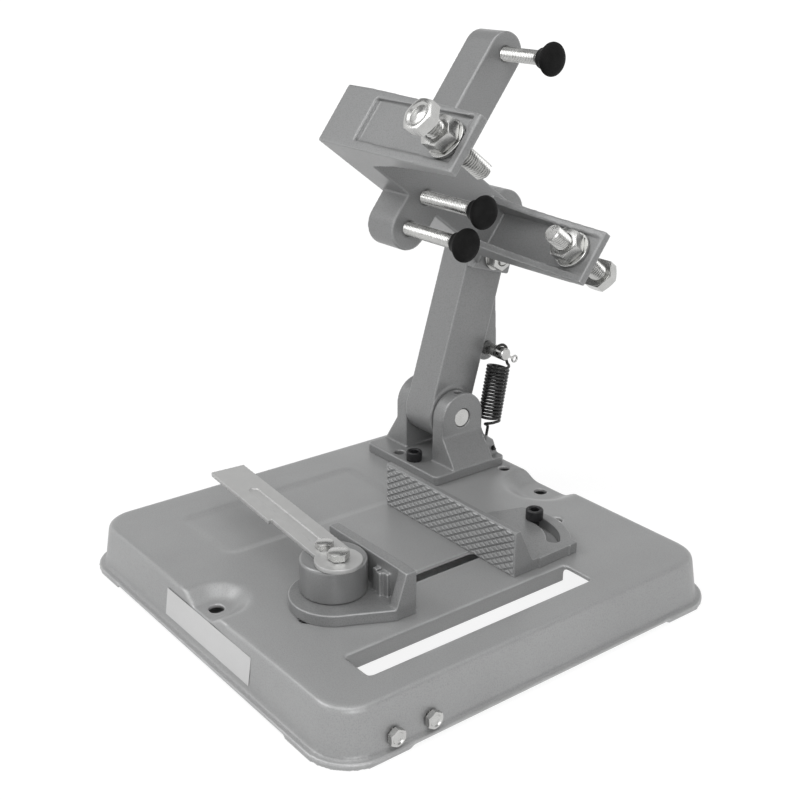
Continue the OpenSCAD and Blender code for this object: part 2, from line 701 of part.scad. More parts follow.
module tube(p, d, sides) {
  n = frames(p);
  pts = [for (i = [0:len(p) - 1]) let (t = tangent(p, i), b = cross(t, n[i]))
    for (k = [0:sides - 1]) p[i] + d / 2 * (cos(360 * k / sides) * n[i] + sin(360 * k / sides) * b)];
  skin = [for (i = [0:len(p) - 2], k = [0:sides - 1])
    let (a = i * sides + k, b = i * sides + (k + 1) % sides)
    each [[a, a + sides, b + sides], [a, b + sides, b]]];
  last = (len(p) - 1) * sides;
  ends = [for (k = [1:sides - 2]) each [[0, k, k + 1], [last, last + k + 1, last + k]]];
  polyhedron(points = pts, faces = concat(skin, ends), convexity = 10);
}
// least gap of the tube to itself, measured between path points over two rings apart
near_rings = 4;
spring_gap = min([for (i = [0:len(spring_path) - 1 - near_rings])
  for (j = [i + near_rings:len(spring_path) - 1]) norm(spring_path[i] - spring_path[j])]) - wire_d;
echo(str("least gap of a spring to itself: ", spring_gap, " mm"));
module spring(s) color(dark)
  translate([bracket_x + s * spring_x, hook_y, hook_z]) rotate([-spring_lean, 0, 0])
    mirror([s > 0 ? 0 : 1, 0, 0]) tube(spring_path, wire_d, 6);
module spring_right() spring(1);
module spring_left() spring(-1);

// ---- grinder holder ----
module in_holder() translate([0, end_y, end_z]) rotate([bar_tilt, 0, 0]) children();
// outline of a prong flange: along its length and in depth, as shares
flange_x_shares = [0, 0.12, 0.32, 0.62, 1];
flange_z_shares = [1, 0.8, 0.5, 0.24, 0];
module prong(s, draft, w, tip_w) {
  // profile in X and depth, drawn out along the bar direction
  out = prong_out;
  tip = out - draft;
  low = band_y - band_w / 2;
  translate([0, 0, holder_mid]) mirror([0, 0, s > 0 ? 0 : 1]) {
    intersection() {
      translate([0, low + band_w, 0]) rotate([90, 0, 0]) linear_extrude(band_w)
        polygon([[holder_back, out], [prong_tip, tip], [prong_tip, tip - prong_t],
          [holder_face - over, out - prong_t], [holder_back, out - prong_t]]);
      // outline in X and along the bar: square band, then the taper to the tip
      linear_extrude(span) polygon([[holder_back, low], [prong_tip, low], [prong_tip, low + tip_w],
        [holder_face, low + w], [holder_face, low + band_w], [holder_back, low + band_w]]);
    }
    for (y = [low + w, low + flange_t])
      translate([0, y, 0]) multmatrix([[1, 0, 0, 0],
          [y > low + flange_t ? (tip_w - w) / prong_l : 0, 1, 0,
            y > low + flange_t ? -holder_face * (tip_w - w) / prong_l : 0],
          [0, 0, 1, 0]])
        rotate([90, 0, 0]) linear_extrude(flange_t)
        polygon(concat([[holder_face - over, out - prong_t / 2],
            [prong_tip, tip - prong_t / 2]],
          [for (k = [4:-1:0]) [holder_face + prong_l * flange_x_shares[k],
            out - prong_t - draft * flange_x_shares[k]
              - (flange_h - prong_t) * flange_z_shares[k]]],
          [[holder_face - over, out - flange_h]]));
  }
}
hollow_t = holder_t - holder_wall;
boss_r = support_d / 2 + holder_wall * 0.7;
bar_hollow_y = support_mid + boss_r + band_w - holder_wall;
hollow_y = band_w - 2 * holder_wall;
hollow_gap = prong_out - bar_w / 2 - 2 * holder_wall;
module grinder_holder() color(cast) in_holder() difference() {
  union() {
    translate([holder_back, 0, 0]) rotate([90, 0, 90]) linear_extrude(holder_t) {
      // cross band
      translate([band_y - band_w / 2, holder_mid - prong_out + prong_t / 2])
        square([band_w, span - prong_t]);
    }
    translate([mount_face, 0, 0]) rotate([90, 0, 90]) linear_extrude(holder_t - mount_t) {
      for (y = [support_top, support_low]) translate([y, holder_mid]) circle(d = bar_w);
      translate([support_low, holder_mid - bar_w / 2])
        square([support_top - support_low, bar_w]);
    }
    prong(1, prong_draft, band_w, front_tip_w);
    prong(-1, rear_draft, rear_prong_w, rear_prong_w);
    // mounting ear on the side of the arm
    translate([holder_back, 0, 0]) rotate([90, 0, 90]) linear_extrude(mount_t) {
      circle(arm_end_r);
      rotate(arm_turn) translate([-mount_l, -arm_end_r]) square([mount_l, 2 * arm_end_r]);
      polygon([[0, 0], [0, arm_end_r + over], [band_y - band_w / 2, arm_end_r + over],
        [band_y - band_w / 2, 0]]);
      translate([band_y - band_w / 2, 0])
        square([band_w, holder_mid - prong_out + over]);
    }
    // two ribs behind the rear prong
    for (y = [band_y + band_w / 4, band_y - band_w / 2])
      translate([0, y + flange_t, 0]) rotate([90, 0, 0]) linear_extrude(flange_t)
        polygon([[mount_face - over, 0], [mount_face, 0],
          [holder_face - holder_wall, holder_mid - prong_out],
          [holder_face - holder_wall, holder_mid - prong_out + over],
          [mount_face - over, holder_mid - prong_out + over]]);
  }
  // hollows of the casting, open to the back
  translate([holder_back - over, bar_hollow_y, holder_mid - bar_w / 2 + holder_wall])
    cube([hollow_t + over, support_top - boss_r - bar_hollow_y, bar_w - 2 * holder_wall]);
  for (s = [-1, 1])
    translate([holder_back - over, band_y - hollow_y / 2,
        holder_mid + s * (bar_w / 2 + holder_wall + hollow_gap / 2) - hollow_gap / 2])
      cube([hollow_t + over, hollow_y, hollow_gap]);
  // support screws
  for (y = [support_top, support_mid, support_low])
    translate([holder_back - over, y, holder_mid]) along_x()
      cylinder(h = holder_t + 2 * over, d = support_d + 2 * fit);
  // grinder bolts
  translate([holder_face + grinder_x, grinder_y, holder_mid - span])
    cylinder(h = 2 * span, d = grinder_d + 2 * fit);
  // shallow recess on the front prong, following its draft
  translate([0, band_y + recess_w / 2, holder_mid + prong_out]) rotate([90, 0, 0])
    linear_extrude(recess_w) polygon([[holder_face, -recess_h - bolt_draft * recess_x0_share],
      [prong_tip - recess_end, -recess_h - prong_draft],
      [prong_tip - recess_end, over], [holder_face, over]]);
  // screws to the arm, and room for their nuts
  for (k = joint_at) rotate([arm_turn, 0, 0]) {
    translate([holder_back - over, k, 0]) along_x()
      cylinder(h = mount_t + 2 * over, d = joint_d + 2 * clear);
    translate([mount_face, k, 0]) along_x()
      cylinder(h = holder_t, d = joint_d * washer_share + 4 * clear);
  }
}
// recess start in the draft, as a share, and its distance from the prong tip
recess_x0_share = 0.3;
recess_end = band_w / 8;
module joint_place() for (k = joint_at) in_arm() translate([0, arm_mid, arm_l + k]) children();
joint_l = 2 * washer_h(joint_d) + arm_w + mount_t + joint_d * nut_h_share + over;
module holder_bolts() color(steel) joint_place()
  translate([bracket_x - arm_w / 2 - washer_h(joint_d), 0, 0]) along_x() hex_bolt(joint_d, joint_l);
module holder_washers() color(steel) joint_place() {
  translate([bracket_x - arm_w / 2 - washer_h(joint_d), 0, 0]) along_x() washer(joint_d);
  translate([mount_face, 0, 0]) along_x() washer(joint_d);
}
module holder_nuts() color(steel) joint_place()
  translate([mount_face + washer_h(joint_d), 0, 0]) along_x() nut(joint_d, joint_d * nut_h_share);

// ---- support screws and caps ----
module support_screw(y, out) color(steel) in_holder()
  translate([holder_face + out, y, holder_mid]) rotate([0, -90, 0])
    hex_bolt(support_d, out + holder_t - mount_t - support_inset);
// rubber cap pulled over the screw head: outline as shares of radius and height
cap_r_shares = [0.6, 0.66, 0.96, 1, 0.95, 0.75, 0.4];
cap_z_shares = [0, 0.2, 0.55, 0.66, 0.82, 0.94, 1];
// how far the cap reaches down the shank
cap_back = cap_h * 0.3;
module rubber_cap(y, out) color(dark) in_holder()
  translate([holder_face + out - cap_back, y, holder_mid]) along_x() difference() {
    rotate_extrude() polygon(concat([[0, 0]],
      [for (k = [0:6]) [cap_d / 2 * cap_r_shares[k], cap_h * cap_z_shares[k]]], [[0, cap_h]]));
    translate([0, 0, -over]) cylinder(h = cap_back + 2 * over, d = support_d);
    translate([0, 0, cap_back]) hexagon(support_d * hex_share, head_h(support_d));
  }
module support_screw_top() support_screw(support_top, support_top_out);
module support_screw_middle() support_screw(support_mid, support_low_out);
module support_screw_lower() support_screw(support_low, support_low_out);
module rubber_cap_top() rubber_cap(support_top, support_top_out);
module rubber_cap_middle() rubber_cap(support_mid, support_low_out);
module rubber_cap_lower() rubber_cap(support_low, support_low_out);

// ---- grinder bolts ----
// place at the outer prong face, third axis outward; s = 1 front prong, -1 rear prong
module at_prong(s) in_holder() translate([holder_face + grinder_x, grinder_y, holder_mid])
  mirror([0, 0, s > 0 ? 0 : 1])
    translate([0, 0, prong_out - (s > 0 ? prong_draft : rear_draft) * bolt_share]) children();
module grinder_bolt(s, reach) color(steel) at_prong(s)
  translate([0, 0, grinder_l - reach - prong_t]) rotate([180, 0, 0])
    hex_bolt(grinder_d, grinder_l);
module grinder_bolt_front() grinder_bolt(1, front_in);
module grinder_bolt_rear() grinder_bolt(-1, rear_in);
module wide_washer() difference() {
  cylinder(h = washer_h(grinder_d), d = jam_washer_d);
  translate([0, 0, -over]) cylinder(h = washer_h(grinder_d) + 2 * over, d = grinder_d + 2 * clear);
}
// the front washer sits in the recess, the rear one inside its prong
front_seat = side_play - recess_h;
rear_seat = -prong_t - side_play - washer_h(grinder_d);
module jam_washers() color(steel) {
  at_prong(1) translate([0, 0, front_seat]) wide_washer();
  at_prong(-1) translate([0, 0, rear_seat]) wide_washer();
}
module jam_nut_front() color(steel) at_prong(1)
  translate([0, 0, front_seat + washer_h(grinder_d)]) nut(grinder_d, grinder_d * nut_h_share);
module jam_nut_rear() color(steel) at_prong(-1)
  translate([0, 0, rear_seat - grinder_d * nut_h_share])
    nut(grinder_d, grinder_d * nut_h_share);

// ---- fence ----
slot_screw_at = [fence_pivot_x + arc_r * cos(arc_start), fence_pivot_y + arc_r * sin(arc_start)];
arc_end = arc_start - arc_sweep;
// corners of the foot behind the fence, degrees from the pivot
foot_high = 118;
foot_corner = 47;
foot_low = 35;
module sector(r, a0, a1) polygon(concat([[0, 0]],
  [for (k = [0:1:24]) let (a = a0 + (a1 - a0) * k / 24) [r * cos(a), r * sin(a)]]));
module fence() color(cast) difference() {
  union() {
    // face, sloping back and foot
    translate([fence_x, fence_y, top_z]) rotate([90, 0, 90]) linear_extrude(fence_l)
      polygon([[0, 0], [0, fence_h], [fence_t, fence_h],
        [fence_foot - side_play, fence_foot_h + side_play], [fence_foot, fence_foot_h],
        [fence_foot, 0]]);
    translate([0, 0, top_z]) linear_extrude(fence_foot_h) {
      translate([fence_pivot_x, fence_pivot_y]) {
        sector(arc_outer, foot_low, foot_high);
        polygon([[0, 0], [arc_outer * cos(foot_low), 0],
          [fence_x + fence_l - fence_pivot_x, arc_outer * sin(foot_low)],
          [fence_x + fence_l - fence_pivot_x, arc_outer * sin(foot_corner)],
          [arc_outer * cos(foot_corner), arc_outer * sin(foot_corner)]]);
        circle(r = arc_w);
      }
      polygon([[fence_pivot_x + arc_outer * cos(foot_high), fence_pivot_y + arc_outer * sin(foot_high)],
        [fence_pivot_x - arc_outer * 0.8, fence_y + fence_foot - over],
        [fence_x + fence_l, fence_y + fence_foot - over],
        [fence_x + fence_l, fence_pivot_y + arc_outer * sin(foot_low)],
        [fence_pivot_x, fence_pivot_y]]);
    }
  }
  translate([fence_pivot_x, fence_pivot_y, top_z - over])
    cylinder(h = fence_h, d = screw_d + 2 * fit);
  translate([fence_pivot_x, fence_pivot_y, top_z + fence_foot_h - pivot_sink])
    cylinder(h = fence_h, d = screw_d * cap_head_share + 2 * clear);
  // curved slot
  translate([fence_pivot_x, fence_pivot_y, top_z - over]) {
    rotate([0, 0, arc_end]) rotate_extrude(angle = arc_sweep)
      translate([arc_r - arc_w / 2, 0]) square([arc_w, fence_foot_h + 2 * over]);
    for (a = [arc_start, arc_end]) rotate([0, 0, a]) translate([arc_r, 0, 0])
      cylinder(h = fence_foot_h + 2 * over, d = arc_w);
  }
}
fence_screw_z = top_z + fence_foot_h + side_play;
fence_screw_l = fence_screw_z - under_z + screw_d * nut_h_share + over;
module fence_pivot_screw() color(dark)
  translate([fence_pivot_x, fence_pivot_y, fence_screw_z - pivot_sink])
    socket_screw(screw_d, fence_screw_l - pivot_sink);
module fence_slot_screw() color(dark) translate([slot_screw_at[0], slot_screw_at[1], fence_screw_z])
  socket_screw(screw_d, fence_screw_l);
module fence_nuts() color(steel) for (p = [[fence_pivot_x, fence_pivot_y], slot_screw_at])
  translate([p[0], p[1], under_z - screw_d * nut_h_share]) nut(screw_d, screw_d * nut_h_share);

// ---- clamp ----
jaw_end = jaw_x + jaw_l;
// ribs: place from the right end, depth and height, as shares of the jaw
rib_x_shares = [0.36, 0.29, 0.24];
rib_out_shares = [0.5, 0.7, 0.35];
rib_w = jaw_l * 0.05;
rib_h_share = 0.78;
bolt_slot_l = 3.5 * clamp_d;
// right edge of the jaw foot where it meets the gusset
jaw_corner_y = jaw_back - gusset_l;
module clamp_jaw() color(cast) difference() {
  union() {
    translate([0, 0, top_z]) linear_extrude(jaw_foot_t) {
      translate([clamp_x - jaw_foot_in, clamp_y]) circle(jaw_foot_r);
      polygon([[clamp_x - jaw_foot_in - jaw_foot_r, clamp_y], [jaw_x + jaw_t, jaw_y],
        [jaw_end, jaw_y], [jaw_end, jaw_corner_y],
        [clamp_x - jaw_foot_in + jaw_foot_r * cos(-34), clamp_y + jaw_foot_r * sin(-34)],
        [clamp_x, clamp_y]]);
    }
    translate([jaw_x, jaw_back, top_z]) cube([jaw_l, jaw_t, jaw_h]);
    // gusset behind the right end, and the stepped ribs beside the cam
    translate([jaw_end - jaw_t, 0, top_z]) rotate([90, 0, 90]) linear_extrude(jaw_t)
      polygon([[jaw_back + over, 0], [jaw_back + over, jaw_h], [jaw_back, jaw_h],
        [jaw_back - gusset_l, jaw_foot_t], [jaw_back - gusset_l, 0]]);
    for (k = [0:2])
      translate([jaw_end - rib_x_shares[k] * jaw_l, jaw_back - rib_out_shares[k] * jaw_t, top_z])
        cube([rib_w, over + rib_out_shares[k] * jaw_t, jaw_h * rib_h_share]);
  }
  // clearance slot round the clamp bolt
  translate([clamp_x, clamp_y - bolt_slot_l / 2, top_z - over])
    slot(clamp_d + 4 * clear, bolt_slot_l, jaw_foot_t + 2 * over);
}
module clamp_cam() color(cast) difference() {
  translate([cam_x, cam_y, cam_z]) union() {
    cylinder(h = cam_h - over, r = cam_r);
    translate([0, 0, cam_h - over]) cylinder(h = over, r1 = cam_r, r2 = cam_r - over);
  }
  translate([clamp_x, clamp_y, cam_z - over]) cylinder(h = cam_h + 2 * over, d = clamp_d + 2 * fit);
  lever_screw_place() translate([0, 0, -lever_t - lever_screw_l])
    cylinder(h = lever_t + lever_screw_l + over, d = lever_screw_d);
}
lever_screw_l = 2 * lever_screw_d;
module lever_screw_place() translate([clamp_x, clamp_y, lever_z + lever_t])
  rotate([0, 0, lever_dir]) translate([lever_screw_at, 0, 0]) children();
// lever outline: where it steps in and how far, the groove and its ends, as shares
lever_step_share = 0.44;
lever_narrow_share = 0.9;
groove_shares = [0.16, 0.73];
groove_w_share = 0.26;
groove_h_share = 0.3;
module clamp_lever() color(steel) translate([clamp_x, clamp_y, lever_z]) rotate([0, 0, lever_dir])
  difference() {
    linear_extrude(lever_t) {
      circle(lever_eye_r);
      translate([0, -lever_w / 2]) square([lever_l * lever_step_share, lever_w * lever_narrow_share]);
      translate([lever_l * lever_step_share, -lever_w / 2])
        square([lever_l * (1 - lever_step_share), lever_w]);
    }
    translate([0, 0, -over]) cylinder(h = lever_t + 2 * over, d = clamp_d + 2 * fit);
    translate([lever_screw_at, 0, -over])
      cylinder(h = lever_t + 2 * over, d = lever_screw_d + 2 * clear);
    // pressed groove
    translate([0, 0, lever_t * (1 - groove_h_share)]) {
      translate([lever_l * groove_shares[0], -lever_w * groove_w_share / 2, 0])
        cube([lever_l * (groove_shares[1] - groove_shares[0]), lever_w * groove_w_share, lever_t]);
      for (g = groove_shares) translate([lever_l * g, 0, 0])
        cylinder(h = lever_t, d = lever_w * groove_w_share);
    }
  }
module lever_screw() color(steel) lever_screw_place() rotate([180, 0, 0])
  hex_bolt(lever_screw_d, lever_screw_l + lever_t);
clamp_bolt_l = lever_z + lever_t - under_z + washer_h(clamp_d) + clamp_d * nut_h_share + over;
module clamp_bolt() color(steel) translate([clamp_x, clamp_y, lever_z + lever_t + side_play])
  rotate([180, 0, 0]) hex_bolt(clamp_d, clamp_bolt_l + side_play);
module clamp_washer() color(steel) translate([clamp_x, clamp_y, under_z - washer_h(clamp_d)])
  washer(clamp_d);
module clamp_nut() color(steel)
  translate([clamp_x, clamp_y, under_z - washer_h(clamp_d) - clamp_d * nut_h_share])
    nut(clamp_d, clamp_d * nut_h_share);

base_tray();
wall_bolts();
wall_nuts();
clevis_bracket();
bracket_screws();
bracket_nuts();
pivot_pin();
pin_grub_screw();
arm();
spring_pin();
split_pins();
spring_right();
spring_left();
grinder_holder();
holder_bolts();
holder_washers();
holder_nuts();
support_screw_top();
support_screw_middle();
support_screw_lower();
rubber_cap_top();
rubber_cap_middle();
rubber_cap_lower();
grinder_bolt_front();
grinder_bolt_rear();
jam_nut_front();
jam_nut_rear();
jam_washers();
fence();
fence_pivot_screw();
fence_slot_screw();
fence_nuts();
clamp_jaw();
clamp_cam();
clamp_lever();
lever_screw();
clamp_bolt();
clamp_washer();
clamp_nut();
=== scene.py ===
# Cut-off stand for a small angle grinder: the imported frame, dressed with cast, pressed,
# threaded and wound pieces. Lengths below are in millimetres and turned into metres by mm.
import bpy
import json
import math
from mathutils import Matrix, Vector

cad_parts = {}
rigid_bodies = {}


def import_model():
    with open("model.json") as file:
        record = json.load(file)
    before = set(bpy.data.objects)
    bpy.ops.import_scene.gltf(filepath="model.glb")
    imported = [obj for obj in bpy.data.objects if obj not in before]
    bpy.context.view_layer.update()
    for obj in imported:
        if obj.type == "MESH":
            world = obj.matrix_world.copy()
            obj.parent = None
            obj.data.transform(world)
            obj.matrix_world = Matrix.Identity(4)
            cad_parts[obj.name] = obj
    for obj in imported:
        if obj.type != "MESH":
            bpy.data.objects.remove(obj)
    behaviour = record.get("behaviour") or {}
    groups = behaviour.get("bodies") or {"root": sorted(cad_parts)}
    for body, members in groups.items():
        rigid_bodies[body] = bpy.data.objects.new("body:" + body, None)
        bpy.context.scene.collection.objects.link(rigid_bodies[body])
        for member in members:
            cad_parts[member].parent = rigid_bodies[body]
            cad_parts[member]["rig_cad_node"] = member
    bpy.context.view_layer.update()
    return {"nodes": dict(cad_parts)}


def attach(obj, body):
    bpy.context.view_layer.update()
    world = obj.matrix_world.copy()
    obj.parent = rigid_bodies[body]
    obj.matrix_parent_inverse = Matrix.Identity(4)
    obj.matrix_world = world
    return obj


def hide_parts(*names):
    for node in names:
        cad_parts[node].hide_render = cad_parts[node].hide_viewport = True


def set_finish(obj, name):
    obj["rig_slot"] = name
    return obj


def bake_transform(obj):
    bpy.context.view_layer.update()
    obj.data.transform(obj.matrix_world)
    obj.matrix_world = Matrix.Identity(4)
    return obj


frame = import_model()
nodes = frame["nodes"]
mm = 0.001
print("frame loaded:", len(nodes), "CAD nodes")


# small tools
def deselect():
    if bpy.context.object and bpy.context.object.mode != "OBJECT":
        bpy.ops.object.mode_set(mode="OBJECT")
    bpy.ops.object.select_all(action="DESELECT")


def pick(obj, *others):
    deselect()
    for o in (obj, *others):
        o.select_set(True)
    bpy.context.view_layer.objects.active = obj


def modify(obj, kind, **values):
    # one modifier, set and applied at once
    pick(obj)
    bpy.ops.object.modifier_add(type=kind)
    modifier = obj.modifiers[-1]
    for key, value in values.items():
        setattr(modifier, key, value)
    bpy.ops.object.modifier_apply(modifier=modifier.name)


def selectFaces(obj, test):
    # face select mode with the faces that pass the test; ends in edit mode
    pick(obj)
    bpy.ops.object.mode_set(mode="EDIT")
    bpy.ops.mesh.select_mode(type="FACE")
    bpy.ops.mesh.select_all(action="DESELECT")
    bpy.ops.object.mode_set(mode="OBJECT")
    for face in obj.data.polygons:
        face.select = bool(test(face))
    bpy.ops.object.mode_set(mode="EDIT")


def smooth(obj, degrees=32):
    pick(obj)
    bpy.ops.object.shade_smooth_by_angle(angle=math.radians(degrees))


def axes(origin, zDirection, xDirection=(1, 0, 0)):
    # matrix that puts local Z along zDirection, origin in millimetres
    z = Vector(zDirection).normalized()
    x = Vector(xDirection)
    x = (x - z * x.dot(z)).normalized()
    y = z.cross(x)
    turn = Matrix((x, y, z)).transposed().to_4x4()
    return Matrix.Translation(Vector(origin) * mm) @ turn


def place(obj, matrix):
    obj.matrix_world = matrix
    pick(obj)
    bpy.ops.object.transform_apply(location=True, rotation=True, scale=True)
    return obj


def copyOf(obj):
    twin = bpy.data.objects.new(obj.name + "Copy", obj.data.copy())
    bpy.context.scene.collection.objects.link(twin)
    return twin


def joined(*parts):
    if len(parts) > 1:
        pick(*parts)
        bpy.ops.object.join()
    return parts[0]


def finishPiece(obj, name, body, slot, material, *cadNodes):
    obj.name = name
    obj.data.name = name
    obj.data.materials.clear()
    obj.data.materials.append(material)
    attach(obj, body)
    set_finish(obj, slot)
    if cadNodes:
        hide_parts(*cadNodes)
    return obj


def drawLine(points):
    # an open line in X and Z: one vertex, extruded from point to point
    deselect()
    bpy.ops.mesh.primitive_plane_add(size=mm)
    line = bpy.context.object
    bpy.ops.object.mode_set(mode="EDIT")
    bpy.ops.mesh.select_mode(type="VERT")
    bpy.ops.mesh.select_all(action="SELECT")
    bpy.ops.mesh.merge(type="CENTER")
    bpy.ops.transform.translate(value=(points[0][0] * mm, 0, points[0][1] * mm))
    for start, end in zip(points, points[1:]):
        step = ((end[0] - start[0]) * mm, 0, (end[1] - start[1]) * mm)
        bpy.ops.mesh.extrude_region_move(TRANSFORM_OT_translate={"value": step})
    return line


def lathe(points, steps=48):
    # outline of (radius, height) points, spun about Z
    turned = drawLine(points)
    bpy.ops.mesh.select_all(action="SELECT")
    bpy.ops.mesh.spin(steps=steps, angle=2 * math.pi, center=(0, 0, 0), axis=(0, 0, 1))
    bpy.ops.mesh.select_all(action="SELECT")
    bpy.ops.mesh.remove_doubles(threshold=1e-6)
    bpy.ops.mesh.normals_make_consistent(inside=False)
    bpy.ops.object.mode_set(mode="OBJECT")
    return turned


# a thread's ridge: its depth and the two edges of its crest as shares of the pitch, and how
# much the last turn is drawn in at the tip
thread = {"under": 0.02, "depth": 0.6, "crest": (0.42, 0.58), "tip": 0.8, "tipShare": 0.84,
          "slack": 0.01}


def threadedRod(diameter, pitch, length, steps=20):
    # one ridge drawn and wound up with the Screw modifier, cut square at both ends
    crest, root = diameter / 2 - thread["under"], diameter / 2 - thread["depth"] * pitch
    ridge = drawLine([(root, 0), (crest, thread["crest"][0] * pitch),
                      (crest, thread["crest"][1] * pitch), (root, pitch)])
    tip, slack = thread["tip"], thread["slack"]
    bpy.ops.object.mode_set(mode="OBJECT")
    turns = math.ceil(length / pitch) + 3
    modify(ridge, "SCREW", angle=2 * math.pi, steps=steps, render_steps=steps,
           iterations=turns, screw_offset=pitch * mm, use_normal_calculate=True)
    pick(ridge)
    bpy.ops.object.mode_set(mode="EDIT")
    bpy.ops.mesh.select_all(action="SELECT")
    bpy.ops.mesh.remove_doubles(threshold=2e-6)
    bpy.ops.transform.translate(value=(0, 0, -1.5 * pitch * mm))
    for height, up in ((0, -1), (length - tip, 1)):
        bpy.ops.mesh.select_all(action="SELECT")
        bpy.ops.mesh.bisect(plane_co=(0, 0, height * mm), plane_no=(0, 0, up),
                            use_fill=True, clear_outer=True)
    bpy.ops.mesh.select_all(action="SELECT")
    bpy.ops.mesh.normals_make_consistent(inside=False)
    selectFaces(ridge, lambda f: f.normal.z > 0.95 and f.center.z > (length - tip - slack) * mm)
    bpy.ops.mesh.extrude_region_move(TRANSFORM_OT_translate={"value": (0, 0, tip * mm)})
    bpy.ops.object.mode_set(mode="OBJECT")
    for vertex in ridge.data.vertices:  # chamfered tip
        if vertex.co.z > (length - slack) * mm:
            vertex.co.x *= thread["tipShare"]
            vertex.co.y *= thread["tipShare"]
    return ridge


def hexPiece(acrossFlats, outline, edge=0.15):
    # hexagon prism cut to a turned outline, which gives the rounded corners of a real one
    low = min(p[1] for p in outline)
    high = max(p[1] for p in outline)
    deselect()
    bpy.ops.mesh.primitive_cylinder_add(
        vertices=6, radius=acrossFlats / 2 / math.cos(math.pi / 6) * mm,
        depth=(high - low + 2) * mm, location=(0, 0, (high + low) / 2 * mm),
        rotation=(0, 0, math.radians(30)))
    prism = bpy.context.object
    bpy.ops.object.transform_apply(location=True, rotation=True, scale=True)
    modify(prism, "BEVEL", width=edge * mm, segments=2, limit_method="ANGLE",
           angle_limit=math.radians(40))
    cutter = lathe(outline, 60)
    modify(prism, "BOOLEAN", operation="INTERSECT", object=cutter, solver="EXACT")
    bpy.data.objects.remove(cutter)
    return prism


# shares of the thread's diameter and of the width across flats
hexagon = {"flats": 1.65, "headHeight": 0.65, "face": 0.485, "corner": 0.6, "lift": 0.55,
           "collar": 0.3, "play": 0.05, "countersink": 0.5}
dishShares = [(0.8, 0.0), (0.66, 1.0), (0.3, 1.0), (0.16, 0.4), (0.0, 0.3)]


def hexRims(flats):
    # radius of the round face and of the corners, and the height of the chamfer between them
    face, corner = flats * hexagon["face"], flats * hexagon["corner"]
    return face, corner, (corner - face) * hexagon["lift"]


def hexNut(diameter, height):
    flats = diameter * hexagon["flats"]
    bore, sink = diameter / 2 + hexagon["play"], hexagon["countersink"]
    face, corner, lift = hexRims(flats)
    outline = [(bore + sink, 0), (face, 0), (corner, lift), (corner, height - lift),
               (face, height), (bore + sink, height), (bore, height - sink), (bore, sink),
               (bore + sink, 0)]
    return hexPiece(flats, outline)


def hexBolt(diameter, pitch, length, share=hexagon["flats"], dish=0.0, steps=20):
    # head below the origin, thread upward
    flats, height, collar = diameter * share, diameter * hexagon["headHeight"], hexagon["collar"]
    face, corner, lift = hexRims(flats)
    outline = [(0, 0), (face, 0), (face, -collar), (corner, -collar), (corner, lift - height),
               (face, -height)]
    if dish:  # pressed hollow in the top of the head, with a small raised middle
        outline += [(face * out, dish * deep - height) for out, deep in dishShares]
    else:
        outline += [(0, -height)]
    head = hexPiece(flats, outline)
    return joined(head, threadedRod(diameter, pitch, length, steps))


def washerRing(inner, outer, height):
    soft = 0.25
    return lathe([(inner, soft), (inner + soft, 0), (outer - soft, 0), (outer, soft),
                  (outer, height - soft), (outer - soft, height), (inner + soft, height),
                  (inner, height - soft), (inner, soft)], 56)


# shares of the thread's diameter: head radius, half the key's width and the socket's mouth
capHead = {"radius": 0.83, "key": 0.415, "socket": 0.5, "soft": 0.5, "foot": (0.2, 0.3),
           "lip": (0.1, 0.4)}


def socketScrew(diameter, pitch, length):
    # black cap screw: head above the origin, thread downward
    radius, height, socket = (diameter * k for k in (capHead["radius"], 1, capHead["socket"]))
    soft, (footIn, footUp), (lipOut, lipDown) = (capHead[k] for k in ("soft", "foot", "lip"))
    head = lathe([(0, 0), (radius - footIn, 0), (radius, footUp), (radius, height - soft),
                  (radius - soft, height), (socket + soft, height),
                  (socket + lipOut, height - lipDown), (0, height - lipDown)], 48)
    deselect()
    bpy.ops.mesh.primitive_cylinder_add(
        vertices=6, radius=diameter * capHead["key"] / math.cos(math.pi / 6) * mm,
        depth=diameter * mm, location=(0, 0, height * mm), rotation=(0, 0, math.radians(30)))
    cutter = bpy.context.object
    bpy.ops.object.transform_apply(location=True, rotation=True, scale=True)
    modify(head, "BOOLEAN", operation="DIFFERENCE", object=cutter, solver="EXACT")
    bpy.data.objects.remove(cutter)
    rod = threadedRod(diameter, pitch, length, steps=16)
    place(rod, axes((0, 0, 0), (0, 0, -1)))
    return joined(head, rod)


def roundPin(diameter, length, soft):
    # turned pin along Z, centred on the origin
    r, h = diameter / 2, length / 2
    return lathe([(0, -h), (r - soft, -h), (r, soft - h), (r, h - soft), (r - soft, h),
                  (0, h)], 56)


def weldedCopy(node, flat=0.6):
    # the node's own shape with its loose triangles merged into clean faces
    body = bpy.data.objects.new(node + "Cast", nodes[node].data.copy())
    bpy.context.scene.collection.objects.link(body)
    pick(body)
    bpy.ops.object.mode_set(mode="EDIT")
    bpy.ops.mesh.select_all(action="SELECT")
    bpy.ops.mesh.remove_doubles(threshold=1.5e-5)
    bpy.ops.mesh.dissolve_limited(angle_limit=math.radians(flat))
    bpy.ops.object.mode_set(mode="OBJECT")
    return body


def castCopy(node, grain, melt, keep):
    # recast in small voxels and let the edges run soft, as sand casting leaves them
    body = weldedCopy(node)
    if node == "base_tray":
        softPressings(body)
    modify(body, "REMESH", mode="VOXEL", voxel_size=grain * mm, use_smooth_shade=True)
    modify(body, "SMOOTH", factor=0.5, iterations=melt)
    full = len(body.data.polygons)
    modify(body, "DECIMATE", ratio=keep)
    pick(body)
    bpy.ops.object.shade_smooth()
    print("  ", body.name, full, "faces recast, kept", len(body.data.polygons))
    return body


